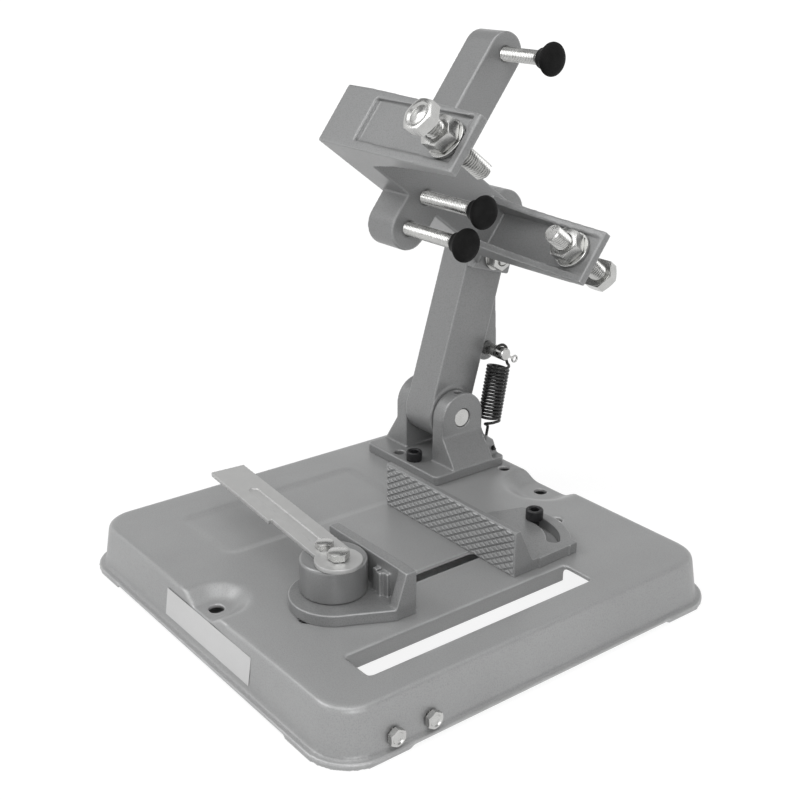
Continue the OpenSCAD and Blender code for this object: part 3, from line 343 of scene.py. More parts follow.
# the tray's pressings, drawn with soft shoulders instead of the frame's plain steps
pressing = {"top": 27.4, "panel": (-91.0, -84.0, -37.0, 34.0), "panelCorner": 8.0,
            "panelDepth": 0.8, "panelSoft": 2.6, "pocketAt": 114.0, "pocketDepth": 5.4,
            "pocketFloor": 12.0, "pocketFlare": 12.0, "frontFloor": 8.5, "frontFlare": 9.5,
            "pocketSoft": 1.0, "cut": 1.4, "cutShift": 0.013, "panelReach": 1,
            "pocketReach": (3, 28, 8), "skin": 7, "panelEdge": 0.9, "panelSkin": 1.2,
            "pocketSkin": 6}


def easeIn(value):
    value = min(1.0, max(0.0, value))
    return value * value * (3 - 2 * value)


def panelHeight(x, y):
    x0, y0, x1, y1 = pressing["panel"]
    corner = pressing["panelCorner"]
    dx = abs(x - (x0 + x1) / 2) - (x1 - x0) / 2 + corner
    dy = abs(y - (y0 + y1) / 2) - (y1 - y0) / 2 + corner
    outside = math.hypot(max(dx, 0), max(dy, 0)) + min(max(dx, dy), 0) - corner
    soft = pressing["panelSoft"]
    return outside, pressing["top"] - pressing["panelDepth"] * easeIn((soft - outside) / 2 / soft)


def pocketChange(x, y):
    # difference between a soft dish and the plain cone of the frame
    far = abs(y) - pressing["pocketAt"]
    reach = math.hypot(x, far) if far < 0 else abs(x)
    floor, flare, soft = (pressing[k] for k in ("pocketFloor", "pocketFlare", "pocketSoft"))
    plain = min(1.0, max(0.0, (floor + flare - reach) / flare))
    if y < 0:  # the front pocket is pressed tighter round its hole
        floor, flare = pressing["frontFloor"], pressing["frontFlare"]
    return pressing["pocketDepth"] * (plain - easeIn((floor + flare + soft - reach)
                                                     / (flare + 2 * soft)))


def softPressings(tray):
    top, cut = pressing["top"], pressing["cut"]
    x0, y0, x1, y1 = pressing["panel"]
    reach = pressing["panelSoft"] + pressing["panelReach"]
    beside, inward, outward = pressing["pocketReach"]
    spans = [(0, a - reach, a + reach) for a in (x0, x1)] + [(1, a - reach, a + reach)
                                                            for a in (y0, y1)]
    wide = pressing["pocketFloor"] + pressing["pocketFlare"] + beside
    far, near = pressing["pocketAt"] + outward, pressing["pocketAt"] - inward
    skin = (top - pressing["skin"]) * mm  # lowest place that belongs to the upper face
    spans += [(0, -wide, wide), (1, near, far), (1, -far, -near)]
    for axis, start, end in spans:
        for k in range(int((end - start) / cut) + 1):
            point, normal = [0, 0, 0], [0, 0, 0]
            point[axis], normal[axis] = (start + k * cut + pressing["cutShift"]) * mm, 1
            selectFaces(tray, lambda f: f.normal.z > 0.6 and f.center.z > skin)
            bpy.ops.mesh.bisect(plane_co=point, plane_no=normal)
            bpy.ops.object.mode_set(mode="OBJECT")
    upper = {v for f in tray.data.polygons
             if f.normal.z > 0.3 and f.center.z > skin for v in f.vertices}
    steps = {v for f in tray.data.polygons if abs(f.normal.z) < 0.1
             and f.center.z > (top - pressing["panelEdge"]) * mm for v in f.vertices}
    for i in upper | steps:
        vertex = tray.data.vertices[i].co
        x, y, z = vertex / mm
        outside, height = panelHeight(x, y)
        if outside < reach and z > top - pressing["panelSkin"]:
            vertex.z = height * mm
        elif z > top - pressing["pocketSkin"]:
            vertex.z += pocketChange(x, y) * mm
    pick(tray)
    bpy.ops.object.mode_set(mode="EDIT")
    bpy.ops.mesh.select_all(action="SELECT")
    bpy.ops.mesh.remove_doubles(threshold=2e-5)
    bpy.ops.object.mode_set(mode="OBJECT")


# finishes
def newMaterial(name):
    material = bpy.data.materials.new(name)
    material.use_nodes = True
    return material, material.node_tree, material.node_tree.nodes["Principled BSDF"]


def noiseNode(tree, coordinates, scale, detail=3, roughness=0.55):
    noise = tree.nodes.new("ShaderNodeTexNoise")
    noise.inputs["Scale"].default_value = scale
    noise.inputs["Detail"].default_value = detail
    noise.inputs["Roughness"].default_value = roughness
    tree.links.new(coordinates, noise.inputs["Vector"])
    return noise


def rampNode(tree, factor, stops):
    ramp = tree.nodes.new("ShaderNodeValToRGB")
    while len(ramp.color_ramp.elements) < len(stops):
        ramp.color_ramp.elements.new(0.5)
    for element, (at, value) in zip(ramp.color_ramp.elements, stops):
        element.position = at
        element.color = (*value, 1) if isinstance(value, tuple) else (value, value, value, 1)
    tree.links.new(factor, ramp.inputs["Fac"])
    return ramp


def bumpNode(tree, height, distance, strength, after=None):
    bump = tree.nodes.new("ShaderNodeBump")
    bump.inputs["Distance"].default_value = distance * mm
    bump.inputs["Strength"].default_value = strength
    tree.links.new(height, bump.inputs["Height"])
    if after:
        tree.links.new(after.outputs["Normal"], bump.inputs["Normal"])
    return bump


def mixColour(tree, kind, factor, a, b):
    mix = tree.nodes.new("ShaderNodeMix")
    mix.data_type = "RGBA"
    mix.blend_type = kind
    for socket, value in ((mix.inputs[0], factor), (mix.inputs[6], a), (mix.inputs[7], b)):
        if isinstance(value, bpy.types.NodeSocket):
            tree.links.new(value, socket)
        elif socket == mix.inputs[0]:
            socket.default_value = value
        else:
            socket.default_value = (*value, 1)
    return mix.outputs[2]


def objectPlace(tree):
    return tree.nodes.new("ShaderNodeTexCoord").outputs["Object"]


# noise as scale, detail and roughness; bumps as depth in millimetres and strength
paintSet = {"clouds": (14, 4, 0.6), "flakes": (1500, 2, 0.6), "skinNoise": (3, 0.5),
            "skinStrength": 0.5, "flakeBump": (0.01, 0.25), "glossSpread": 0.05,
            "highlightShare": 1.9, "paintedEdgeHighlight": (0.515, 0.56), "paintedCornerShade": (0.43, 0.49), "specular": 0.5}


# edge sets how strong the painted edge highlight and the painted corner shade are
def silverPaint(name, colour, metal, rough, flake, skin, skinScale, mottle, edge=0.45):
    # sprayed aluminium paint: fine flake, slight cloudiness and a soft skin of the spray
    material, tree, shader = newMaterial(name)
    where, spread = objectPlace(tree), paintSet["glossSpread"]
    cloud = noiseNode(tree, where, *paintSet["clouds"])
    grain = noiseNode(tree, where, *paintSet["flakes"])
    peel = noiseNode(tree, where, skinScale, *paintSet["skinNoise"])
    light = tuple(c * (1 + mottle) for c in colour)
    dark = tuple(c * (1 - mottle) for c in colour)
    clouds = rampNode(tree, cloud.outputs["Fac"], [(0.32, dark), (0.5, colour), (0.7, light)])
    flakes = rampNode(tree, grain.outputs["Fac"],
                      [(0.3, 1 - flake), (0.55, 1.0), (0.75, 1.0)])
    paint = mixColour(tree, "MULTIPLY", 1.0, clouds.outputs["Color"], flakes.outputs["Color"])
    # painted highlight and painted shade: by pointiness, outer edges are lightened towards a
    # bright tone and inner corners are darkened
    bend = tree.nodes.new("ShaderNodeNewGeometry").outputs["Pointiness"]
    paintedEdgeHighlight = rampNode(tree, bend, list(zip(paintSet["paintedEdgeHighlight"], (0.0, edge))))
    paintedCornerShade = rampNode(tree, bend, list(zip(paintSet["paintedCornerShade"], (1 - edge, 1.0))))
    paint = mixColour(tree, "MULTIPLY", 1.0, paint, paintedCornerShade.outputs["Color"])
    highlightTone = tuple(min(1, c * paintSet["highlightShare"]) for c in colour)
    tree.links.new(mixColour(tree, "MIX", paintedEdgeHighlight.outputs["Color"], paint, highlightTone),
                   shader.inputs["Base Color"])
    gloss = rampNode(tree, cloud.outputs["Fac"], [(0.3, rough + spread), (0.7, rough - spread)])
    tree.links.new(gloss.outputs["Color"], shader.inputs["Roughness"])
    first = bumpNode(tree, peel.outputs["Fac"], skin, paintSet["skinStrength"])
    second = bumpNode(tree, grain.outputs["Fac"], *paintSet["flakeBump"], first)
    tree.links.new(second.outputs["Normal"], shader.inputs["Normal"])
    shader.inputs["Metallic"].default_value = metal
    shader.inputs["Specular IOR Level"].default_value = paintSet["specular"]
    return material


platingSet = {"clouds": (160, 4, 0.65), "lines": (2400, 3, 0.6), "lightShare": 0.6,
              "glossier": 0.06, "duller": 0.1, "lineStrength": 0.4}


def platedSteel(name, colour, rough, streak, tint=0.1, metal=1.0):
    # bright zinc plating: slightly uneven tone, fine drawn lines
    material, tree, shader = newMaterial(name)
    where, lighter = objectPlace(tree), tint * platingSet["lightShare"]
    cloud = noiseNode(tree, where, *platingSet["clouds"])
    fine = noiseNode(tree, where, *platingSet["lines"])
    tone = rampNode(tree, cloud.outputs["Fac"],
                    [(0.3, tuple(c * (1 - tint) for c in colour)),
                     (0.7, tuple(min(1, c * (1 + lighter)) for c in colour))])
    tree.links.new(tone.outputs["Color"], shader.inputs["Base Color"])
    gloss = rampNode(tree, cloud.outputs["Fac"], [(0.35, rough - platingSet["glossier"]),
                                                  (0.7, rough + platingSet["duller"])])
    tree.links.new(gloss.outputs["Color"], shader.inputs["Roughness"])
    first = bumpNode(tree, fine.outputs["Fac"], streak, platingSet["lineStrength"])
    tree.links.new(first.outputs["Normal"], shader.inputs["Normal"])
    shader.inputs["Metallic"].default_value = metal
    return material


darkSet = {"clouds": (220, 3, 0.6), "grainNoise": (2, 0.6), "darkShare": 0.7,
           "lightShare": 1.6, "glossier": 0.06, "duller": 0.08, "grainStrength": 0.5}


def darkFinish(name, colour, rough, metal, grainScale, grainDepth):
    # black oxide, black spring lacquer and rubber share this: a dull black with its own grain
    material, tree, shader = newMaterial(name)
    where = objectPlace(tree)
    cloud = noiseNode(tree, where, *darkSet["clouds"])
    grain = noiseNode(tree, where, grainScale, *darkSet["grainNoise"])
    tone = rampNode(tree, cloud.outputs["Fac"],
                    [(0.3, tuple(c * darkSet["darkShare"] for c in colour)),
                     (0.75, tuple(c * darkSet["lightShare"] for c in colour))])
    tree.links.new(tone.outputs["Color"], shader.inputs["Base Color"])
    gloss = rampNode(tree, grain.outputs["Fac"], [(0.3, rough - darkSet["glossier"]),
                                                  (0.7, rough + darkSet["duller"])])
    tree.links.new(gloss.outputs["Color"], shader.inputs["Roughness"])
    first = bumpNode(tree, grain.outputs["Fac"], grainDepth, darkSet["grainStrength"])
    tree.links.new(first.outputs["Normal"], shader.inputs["Normal"])
    shader.inputs["Metallic"].default_value = metal
    return material


trayPaint = silverPaint("traySilver", (0.330, 0.332, 0.333), metal=0.25, rough=0.38, flake=0.15,
                        skin=0.05, skinScale=260, mottle=0.045)
castPaint = silverPaint("castSilver", (0.250, 0.252, 0.253), metal=0.30, rough=0.36, flake=0.20,
                        skin=0.08, skinScale=420, mottle=0.06)
# the hatch diamonds get a stronger painted edge highlight and painted corner shade
hatchPaint = silverPaint("hatchSilver", (0.245, 0.247, 0.248), metal=0.30, rough=0.34,
                         flake=0.20, skin=0.05, skinScale=420, mottle=0.06, edge=0.8)
camPaint = silverPaint("camSilver", (0.235, 0.237, 0.238), metal=0.4, rough=0.34, flake=0.10,
                       skin=0.04, skinScale=500, mottle=0.04)
leverZinc = platedSteel("leverZinc", (0.48, 0.48, 0.475), rough=0.40, streak=0.02, tint=0.06,
                        metal=0.55)
zinc = platedSteel("brightZinc", (0.53, 0.53, 0.52), rough=0.24, streak=0.03, tint=0.14)
blackOxide = darkFinish("blackOxide", (0.010, 0.010, 0.011), rough=0.45, metal=0.1,
                        grainScale=900, grainDepth=0.02)
springBlack = darkFinish("springBlack", (0.022, 0.022, 0.022), rough=0.26, metal=0.3,
                         grainScale=1200, grainDepth=0.01)
rubberBlack = darkFinish("rubberBlack", (0.006, 0.006, 0.006), rough=0.62, metal=0.0,
                         grainScale=1300, grainDepth=0.03)
rubberBlack.node_tree.nodes["Principled BSDF"].inputs["Specular IOR Level"].default_value = 0.12
labelFilm = silverPaint("labelFilm", (0.56, 0.56, 0.56), metal=0.0, rough=0.5, flake=0.03,
                        skin=0.01, skinScale=300, mottle=0.02, edge=0.0)
print("finishes made")

# places, in millimetres
armX = -70.4
pivot = (90.3, 61.3)
lugPin = (122.536, 96.977)
armEnd = (124.521, 184.143)
barTilt = math.radians(53)
alongBar = Vector((0, math.cos(barTilt), math.sin(barTilt)))
acrossBar = Vector((0, -math.sin(barTilt), math.cos(barTilt)))


def inHolder(x, along, across):
    return Vector((x, *armEnd)) + alongBar * along + acrossBar * across


# castings and pressings: piece, body, slot, finish, voxel size in millimetres, smoothing passes
# and the share of faces that is kept
castings = {
    "base_tray": ("tray", "tray", "tray_paint", trayPaint, 1.0, 3, 0.3),
    "clevis_bracket": ("clevisBracket", "tray", "casting_paint", castPaint, 0.6, 4, 0.4),
    "arm": ("swingArm", "swing_arm", "casting_paint", castPaint, 0.7, 5, 0.4),
    "grinder_holder": ("grinderHolder", "swing_arm", "casting_paint", castPaint, 0.65, 4, 0.5),
    "clamp_jaw": ("clampJaw", "jaw", "casting_paint", castPaint, 0.45, 5, 0.4),
    "clamp_cam": ("clampCam", "cam_lever", "cam_paint", camPaint, 0.45, 5, 0.4),
    "clamp_lever": ("clampLever", "cam_lever", "lever_sheet", leverZinc, 0.3, 3, 0.4),
    "fence": ("mitreFence", "mitre_fence", "casting_paint", castPaint, 0.4, 3, 0.4),
}
for node, (name, body, slot, paint, grain, melt, keep) in castings.items():
    finishPiece(castCopy(node, grain, melt, keep), name, body, slot, paint, node)
print("castings rounded")

# cross-hatched gripping faces
hatch = {"period": 3.4, "angle": 30.2, "groove": 0.5, "slope": 0.62, "height": 0.6, "back": 1.0,
         "leastShare": 0.3}


def hatchSheet(low, high, facing):
    # diamonds between two families of grooves, standing on the face at y = low[1]
    half = math.radians(hatch["angle"])
    wide, tall = hatch["period"] / math.sin(half), hatch["period"] / math.cos(half)
    spanX, spanZ = high[0] - low[0], high[2] - low[2]
    count = 2 * math.ceil(spanX / wide / 2 + spanZ / tall / 2 + 1)
    deselect()
    bpy.ops.mesh.primitive_grid_add(x_subdivisions=count, y_subdivisions=count,
                                    size=count / math.sqrt(2))
    sheet = bpy.context.object
    middle = ((low[0] + high[0]) / 2, low[1], (low[2] + high[2]) / 2)
    turn = Matrix.Rotation(math.pi / 4, 4, "Z")
    stretch = Matrix.Diagonal((wide * mm, tall * mm, mm, 1))
    upright = Matrix.Rotation(math.pi / 2 * (1 if facing < 0 else -1), 4, "X")
    sheet.data.transform(Matrix.Translation(Vector(middle) * mm) @ upright @ stretch @ turn)
    bpy.ops.object.mode_set(mode="EDIT")
    for at, normal in ((low[0], (-1, 0, 0)), (high[0], (1, 0, 0)), (low[2], (0, 0, -1)),
                       (high[2], (0, 0, 1))):
        point = [0, 0, 0]
        point[0 if normal[0] else 2] = at * mm
        bpy.ops.mesh.select_all(action="SELECT")
        bpy.ops.mesh.bisect(plane_co=point, plane_no=normal, clear_outer=True)
    whole = wide * tall / 2 * mm * mm
    selectFaces(sheet, lambda f: f.area > hatch["leastShare"] * whole)
    bpy.ops.mesh.inset(thickness=hatch["groove"] / 2 * mm, use_boundary=True,
                       use_individual=True)
    bpy.ops.mesh.inset(thickness=hatch["slope"] * mm, depth=hatch["height"] * mm,
                       use_individual=True)
    bpy.ops.object.mode_set(mode="OBJECT")
    modify(sheet, "SOLIDIFY", thickness=hatch["back"] * mm, offset=-1)  # closed, set into the face
    for vertex in sheet.data.vertices:  # the small cut diamonds stay inside the face
        vertex.co.x = min(max(vertex.co.x, low[0] * mm), high[0] * mm)
        vertex.co.z = min(max(vertex.co.z, low[2] * mm), high[2] * mm)
    return sheet


hatched = {"fenceHatch": ("mitre_fence", (-34.6, 21.3, 27.8), (75.6, 21.3, 53.2), -1),
           "jawHatch": ("jaw", (6.6, -41.5, 28.0), (72.0, -41.5, 51.0), 1)}
for name, (body, low, high, facing) in hatched.items():
    finishPiece(hatchSheet(low, high, facing), name, body, "casting_paint", hatchPaint)
print("hatched faces made")

# fasteners
def alongX(x, y, z, way=1):
    return axes((x, y, z), (way, 0, 0), (0, 0, -way))


def standing(spot, height):
    return axes((*spot, height), (0, 0, 1))


wallFixing = {"thread": 5, "pitch": 0.8, "length": 14, "dish": 0.5, "nut": 4, "height": 9,
              "along": (-94.9, -73.4), "outside": 124.206, "inside": 113.7}
wallBolt = hexBolt(wallFixing["thread"], wallFixing["pitch"], wallFixing["length"],
                   dish=wallFixing["dish"], steps=14)
wallTwin = copyOf(wallBolt)
for bolt, y in zip((wallBolt, wallTwin), wallFixing["along"]):
    place(bolt, alongX(wallFixing["outside"], y, wallFixing["height"], -1))
finishPiece(joined(wallBolt, wallTwin), "wallBolts", "tray", "zinc", zinc, "wall_bolts")

wallNut = hexNut(wallFixing["thread"], wallFixing["nut"])
wallTwin = copyOf(wallNut)
for nut, y in zip((wallNut, wallTwin), wallFixing["along"]):
    place(nut, alongX(wallFixing["inside"], y, wallFixing["height"]))
finishPiece(joined(wallNut, wallTwin), "wallNuts", "tray", "zinc", zinc, "wall_nuts")

# M6 screws and nuts: where they stand, and the heights of their seats
six = {"thread": 6, "pitch": 1.0, "nut": 4.8, "underTray": 20.1, "bracketTop": 33.4,
       "bracketHoles": ((-64.8, 66.0), (-72.4, 109.6)), "bracketLength": 14.3,
       "fencePivot": (44.4, 39.0), "pivotSeat": 31.0, "pivotLength": 11.9,
       "fenceSlot": (41.46, 68.454), "slotSeat": 34.0}
clamp = {"at": (43.4, -68), "nut": 18.9, "washer": 23.7, "washerThick": 1.2, "washerOuter": 6,
         "head": 54.6, "length": 36.7, "screwAt": (29.453, -66.78, 54.3), "screwThread": 5,
         "screwPitch": 0.8, "screwLength": 12.4}
nutSix = hexNut(six["thread"], six["nut"])
for name, node, spots in (("bracketNuts", "bracket_nuts", six["bracketHoles"]),
                          ("fenceNuts", "fence_nuts", (six["fencePivot"], six["fenceSlot"]))):
    pair = [place(copyOf(nutSix), standing(spot, six["underTray"])) for spot in spots]
    finishPiece(joined(*pair), name, "tray", "zinc", zinc, node)
clampNut = place(nutSix, standing(clamp["at"], clamp["nut"]))
finishPiece(clampNut, "clampNut", "clamp_carriage", "zinc", zinc, "clamp_nut")

capScrew = socketScrew(six["thread"], six["pitch"], six["bracketLength"])
pair = [place(copyOf(capScrew), standing(spot, six["bracketTop"]))
        for spot in six["bracketHoles"]]
finishPiece(joined(*pair), "bracketScrews", "tray", "black_screw", blackOxide, "bracket_screws")
slotScrew = place(capScrew, standing(six["fenceSlot"], six["slotSeat"]))
finishPiece(slotScrew, "fenceSlotScrew", "tray", "black_screw", blackOxide, "fence_slot_screw")
pivotScrew = place(socketScrew(six["thread"], six["pitch"], six["pivotLength"]),
                   standing(six["fencePivot"], six["pivotSeat"]))
finishPiece(pivotScrew, "fencePivotScrew", "tray", "black_screw", blackOxide,
            "fence_pivot_screw")

pins = {"pivot": (12, 44.4, 0.5), "spring": (8, 52, 0.6)}  # diameter, length, chamfer
pivotPin = place(roundPin(*pins["pivot"]), alongX(armX, *pivot))
finishPiece(pivotPin, "pivotPin", "tray", "zinc", zinc, "pivot_pin")
springPin = place(roundPin(*pins["spring"]), alongX(armX, *lugPin))
finishPiece(springPin, "springPin", "swing_arm", "zinc", zinc, "spring_pin")

# holder bolts through the arm
holding = {"thread": 8, "pitch": 1.25, "length": 40.6, "nut": 6.4, "washer": (4.25, 8, 1.6),
           "places": (armEnd, (117.093, 159.227)), "head": -84.0, "nutAt": -50.8,
           "washersAt": (-84.0, -52.4)}
longBolt = hexBolt(holding["thread"], holding["pitch"], holding["length"], steps=16)
armNut = hexNut(holding["thread"], holding["nut"])
armWasher = washerRing(*holding["washer"])
bolts = [place(copyOf(longBolt), alongX(holding["head"], *p)) for p in holding["places"]]
nutsHere = [place(copyOf(armNut), alongX(holding["nutAt"], *p)) for p in holding["places"]]
rings = [place(copyOf(armWasher), alongX(x, *p)) for p in holding["places"]
         for x in holding["washersAt"]]
for spare in (longBolt, armNut, armWasher):
    bpy.data.objects.remove(spare)
finishPiece(joined(*bolts), "holderBolts", "swing_arm", "zinc", zinc, "holder_bolts")
finishPiece(joined(*nutsHere), "holderNuts", "swing_arm", "zinc", zinc, "holder_nuts")
finishPiece(joined(*rings), "holderWashers", "swing_arm", "zinc", zinc, "holder_washers")

# support screws with their rubber caps
supports = {"top": (62.8, 31.8), "middle": (-28.6, 42.5), "lower": (-48.2, 42.5)}
supportScrew = {"thread": 8, "pitch": 1.25, "behind": 21.4, "headShare": 1.3, "from": -30,
                "across": 77.6, "capBack": 3.42}
capOutline = [(0, 3.3), (4.02, 3.3), (4.02, 0.25), (4.3, 0), (5.15, 0), (5.5, 0.35), (5.85, 1.6),
              (6.5, 3.2), (7.4, 4.8), (8.3, 6.2), (8.95, 7.2), (9.1, 7.9), (8.95, 8.7),
              (8.3, 9.6), (7.0, 10.4), (5.2, 11.0), (2.6, 11.3), (0, 11.4)]
for which, (along, out) in supports.items():
    at = inHolder(supportScrew["from"] + out, along, supportScrew["across"])
    screw = hexBolt(supportScrew["thread"], supportScrew["pitch"],
                    out + supportScrew["behind"], supportScrew["headShare"])
    place(screw, axes(at, (-1, 0, 0), (0, 0, 1)))
    capAt = at - Vector((supportScrew["capBack"], 0, 0))
    cap = place(lathe(capOutline, 64), axes(capAt, (1, 0, 0), (0, 0, -1)))
    smooth(cap, 50)
    body = "support_" + which
    finishPiece(screw, "supportScrew" + which.title(), body, "zinc", zinc,
                "support_screw_" + which)
    finishPiece(cap, "rubberCap" + which.title(), body, "rubber_cap", rubberBlack,
                "rubber_cap_" + which)

# grinder bolts, their lock nuts and washers
grinderX, grinderAlong = 33.5, -17.8
# outer face of each prong, its outward way, and head, nut and washer measured from that face
prongs = {"front": (136.835, 1, 15, 0.1, -1.9), "rear": (17.333, -1, 20.5, -15.3, -7.3)}
grinderBolt = hexBolt(10, 1.5, 47, dish=0.9)
lockNut = hexNut(10, 8)
jamRing = washerRing(5.25, 10.5, 2)
rings = []
for end, (face, way, headOut, nutOut, ringOut) in prongs.items():
    headAt, nutAt, ringAt = (face + way * out for out in (headOut, nutOut, ringOut))
    outward = acrossBar * way
    bolt = place(copyOf(grinderBolt), axes(inHolder(grinderX, grinderAlong, headAt), -outward))
    finishPiece(bolt, "grinderBolt" + end.title(), end + "_grinder_bolt", "zinc", zinc,
                "grinder_bolt_" + end)
    nut = place(copyOf(lockNut), axes(inHolder(grinderX, grinderAlong, nutAt), outward))
    finishPiece(nut, "lockNut" + end.title(), "swing_arm", "zinc", zinc, "jam_nut_" + end)
    rings.append(place(copyOf(jamRing), axes(inHolder(grinderX, grinderAlong, ringAt), outward)))
for spare in (grinderBolt, lockNut, jamRing):
    bpy.data.objects.remove(spare)
finishPiece(joined(*rings), "lockWashers", "swing_arm", "zinc", zinc, "jam_washers")

# clamp bolt, lever screw and washer
clampBolt = place(hexBolt(six["thread"], six["pitch"], clamp["length"], steps=16),
                  axes((*clamp["at"], clamp["head"]), (0, 0, -1)))
finishPiece(clampBolt, "clampBolt", "clamp_carriage", "zinc", zinc, "clamp_bolt")
leverScrew = place(hexBolt(clamp["screwThread"], clamp["screwPitch"], clamp["screwLength"],
                           steps=14), axes(clamp["screwAt"], (0, 0, -1)))
finishPiece(leverScrew, "leverScrew", "cam_lever", "zinc", zinc, "lever_screw")
clampWasher = place(washerRing(3.25, clamp["washerOuter"], clamp["washerThick"]),
                    standing(clamp["at"], clamp["washer"]))
finishPiece(clampWasher, "clampWasher", "clamp_carriage", "zinc", zinc, "clamp_washer")
for obj in list(bpy.context.scene.objects):
    if obj.type == "MESH" and "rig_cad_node" not in obj and obj.get("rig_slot") in (
            "zinc", "black_screw"):
        smooth(obj, 34)
print("fasteners made")

# springs
spring = {"outer": 15.0, "wire": 1.85, "turns": 16, "rings": 22, "foot": 17.0, "head": 8.6,
          "side": 20.9, "hook": (111.4, 37.4), "tab": 27.0, "tabThick": 4.0, "loopPlay": 0.1,
          "bendStart": (0.1125, 0.0435), "bendEnd": (0.1205, 0.0885)}


def springPath(side):
    wire, radius = spring["wire"], (spring["outer"] - spring["wire"]) / 2
    dy, dz = lugPin[0] - spring["hook"][0], lugPin[1] - spring["hook"][1]
    length = math.hypot(dy, dz)
    wound = length - spring["foot"] - spring["head"]
    loop = (pins["spring"][0] / 2 + wire / 2 + spring["loopPlay"]) / math.cos(math.radians(15))
    reach = spring["tab"] - spring["side"] + spring["tabThick"] / 2 + wire
    top, bend = spring["foot"] - 2 * wire, wire
    points = [(reach, 0, 0), (reach - wire, 0, 0), (reach / 2, 0, 0), (bend, 0, 0)]
    points += [(bend * (1 - math.sin(a)), 0, bend * (1 - math.cos(a)))
               for a in (math.radians(d) for d in (20, 40, 60, 80))]
    points += [(0, 0, bend + k * (top - 2 * bend) / 5) for k in range(6)]
    points += [(0, -bend * (1 - math.cos(a)), top - bend * (1 - math.sin(a)))
               for a in (math.radians(d) for d in (20, 40, 60))]
    for d in range(160, 0, -20):
        a = math.radians(d)
        points.append((radius / 2 * (1 + math.cos(a)),
                       -bend - radius / 2 * math.sin(a) + bend * (180 - d) / 180,
                       top + 2 * wire * (180 - d) / 180))
    rings = spring["rings"]
    for i in range(spring["turns"] * rings + 1):
        a = 2 * math.pi * i / rings
        points.append((radius * math.cos(a), radius * math.sin(a),
                       spring["foot"] + wound * i / (spring["turns"] * rings)))
    for d in (20, 40, 60, 80):
        a = math.radians(d)
        points.append((radius * math.cos(a), radius * math.sin(a),
                       spring["foot"] + wound + wire * d / 90))
    points.append((0, loop + (radius - loop) / 2, spring["foot"] + wound + 2.2 * wire))
    points += [(0, loop * math.cos(a), length + loop * math.sin(a))
               for a in (math.radians(d) for d in range(0, 181, 12))]
    points.append((0, -loop, length - wire))
    lean = Matrix.Rotation(-math.atan2(dy, dz), 3, "X")
    out = []
    for x, y, z in points:
        turned = lean @ Vector((x * side, y, z))
        out.append((armX + side * spring["side"] + turned.x, spring["hook"][0] + turned.y,
                    spring["hook"][1] + turned.z))
    return out


for side, label in ((1, "right"), (-1, "left")):
    route = springPath(side)
    deselect()
    bpy.ops.curve.primitive_nurbs_path_add()
    wound = bpy.context.object
    wound.data.splines.clear()
    line = wound.data.splines.new("POLY")
    line.points.add(len(route) - 1)
    for point, at in zip(line.points, route):
        point.co = (at[0] * mm, at[1] * mm, at[2] * mm, 1)
    wound.data.bevel_depth = spring["wire"] / 2 * mm
    wound.data.bevel_resolution = 3
    wound.data.use_fill_caps = True
    pick(wound)
    bpy.ops.object.convert(target="MESH")
    wound = bpy.context.object
    pick(wound)
    bpy.ops.object.shade_smooth()
    wound.name = wound.data.name = "spring" + label.title()
    wound.data.materials.clear()
    wound.data.materials.append(springBlack)
    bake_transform(wound)
    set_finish(wound, "spring_steel")
    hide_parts("spring_" + label)
print("springs wound")

# remaining CAD pieces keep their shape
for node, paint in (("pin_grub_screw", blackOxide), ("split_pins", zinc)):
    nodes[node].data.materials.clear()
    nodes[node].data.materials.append(paint)

# blank film on the front wall: a sheet that follows the wall's lean
film = {"x": (-34.6, 49.0), "z": (6.8, 21.6), "foot": 126.4, "lean": 3.9 / 27.4, "proud": 0.12,
        "thick": 0.1}
deselect()
bpy.ops.mesh.primitive_grid_add(x_subdivisions=16, y_subdivisions=4, size=1)
blank = bpy.context.object
for vertex in blank.data.vertices:
    x = film["x"][0] + (vertex.co.x + 0.5) * (film["x"][1] - film["x"][0])
    z = film["z"][0] + (vertex.co.y + 0.5) * (film["z"][1] - film["z"][0])
    y = film["lean"] * z - film["foot"] - film["proud"]
    vertex.co = Vector((x, y, z)) * mm
modify(blank, "SOLIDIFY", thickness=film["thick"] * mm, offset=-1)
finishPiece(blank, "blankFilm", "tray", "tray_paint", labelFilm)

# stage, lights and camera
deselect()
bpy.ops.mesh.primitive_plane_add(size=30)
floor = bpy.context.object
floor.name = "floor"
floorMaterial, tree, shader = newMaterial("paleFloor")
# under gives the half sizes of the floor's painted shade beneath the tray; the next X span is its
# strip of painted light below the disc slot
floorSet = {"glow": 1.10, "share": 0.80, "under": (118, 126), "slotLight": (30, 118), "near": 0.7,
            "far": 2.2}


def mathNode(tree, operation, first, second, third=None):
    node = tree.nodes.new("ShaderNodeMath")
    node.operation = operation
    for socket, value in zip(node.inputs, (first, second, third)):
        if isinstance(value, bpy.types.NodeSocket):
            tree.links.new(value, socket)
        elif value is not None:
            socket.default_value = value
    return node.outputs[0]


def seenOrMirrored(tree):
    # 1 for rays from the camera and for reflections and refractions, 0 for soft light
    rays = tree.nodes.new("ShaderNodeLightPath").outputs
    shine = mathNode(tree, "MAXIMUM", rays["Is Glossy Ray"], rays["Is Transmission Ray"])
    return mathNode(tree, "MAXIMUM", rays["Is Camera Ray"], shine)


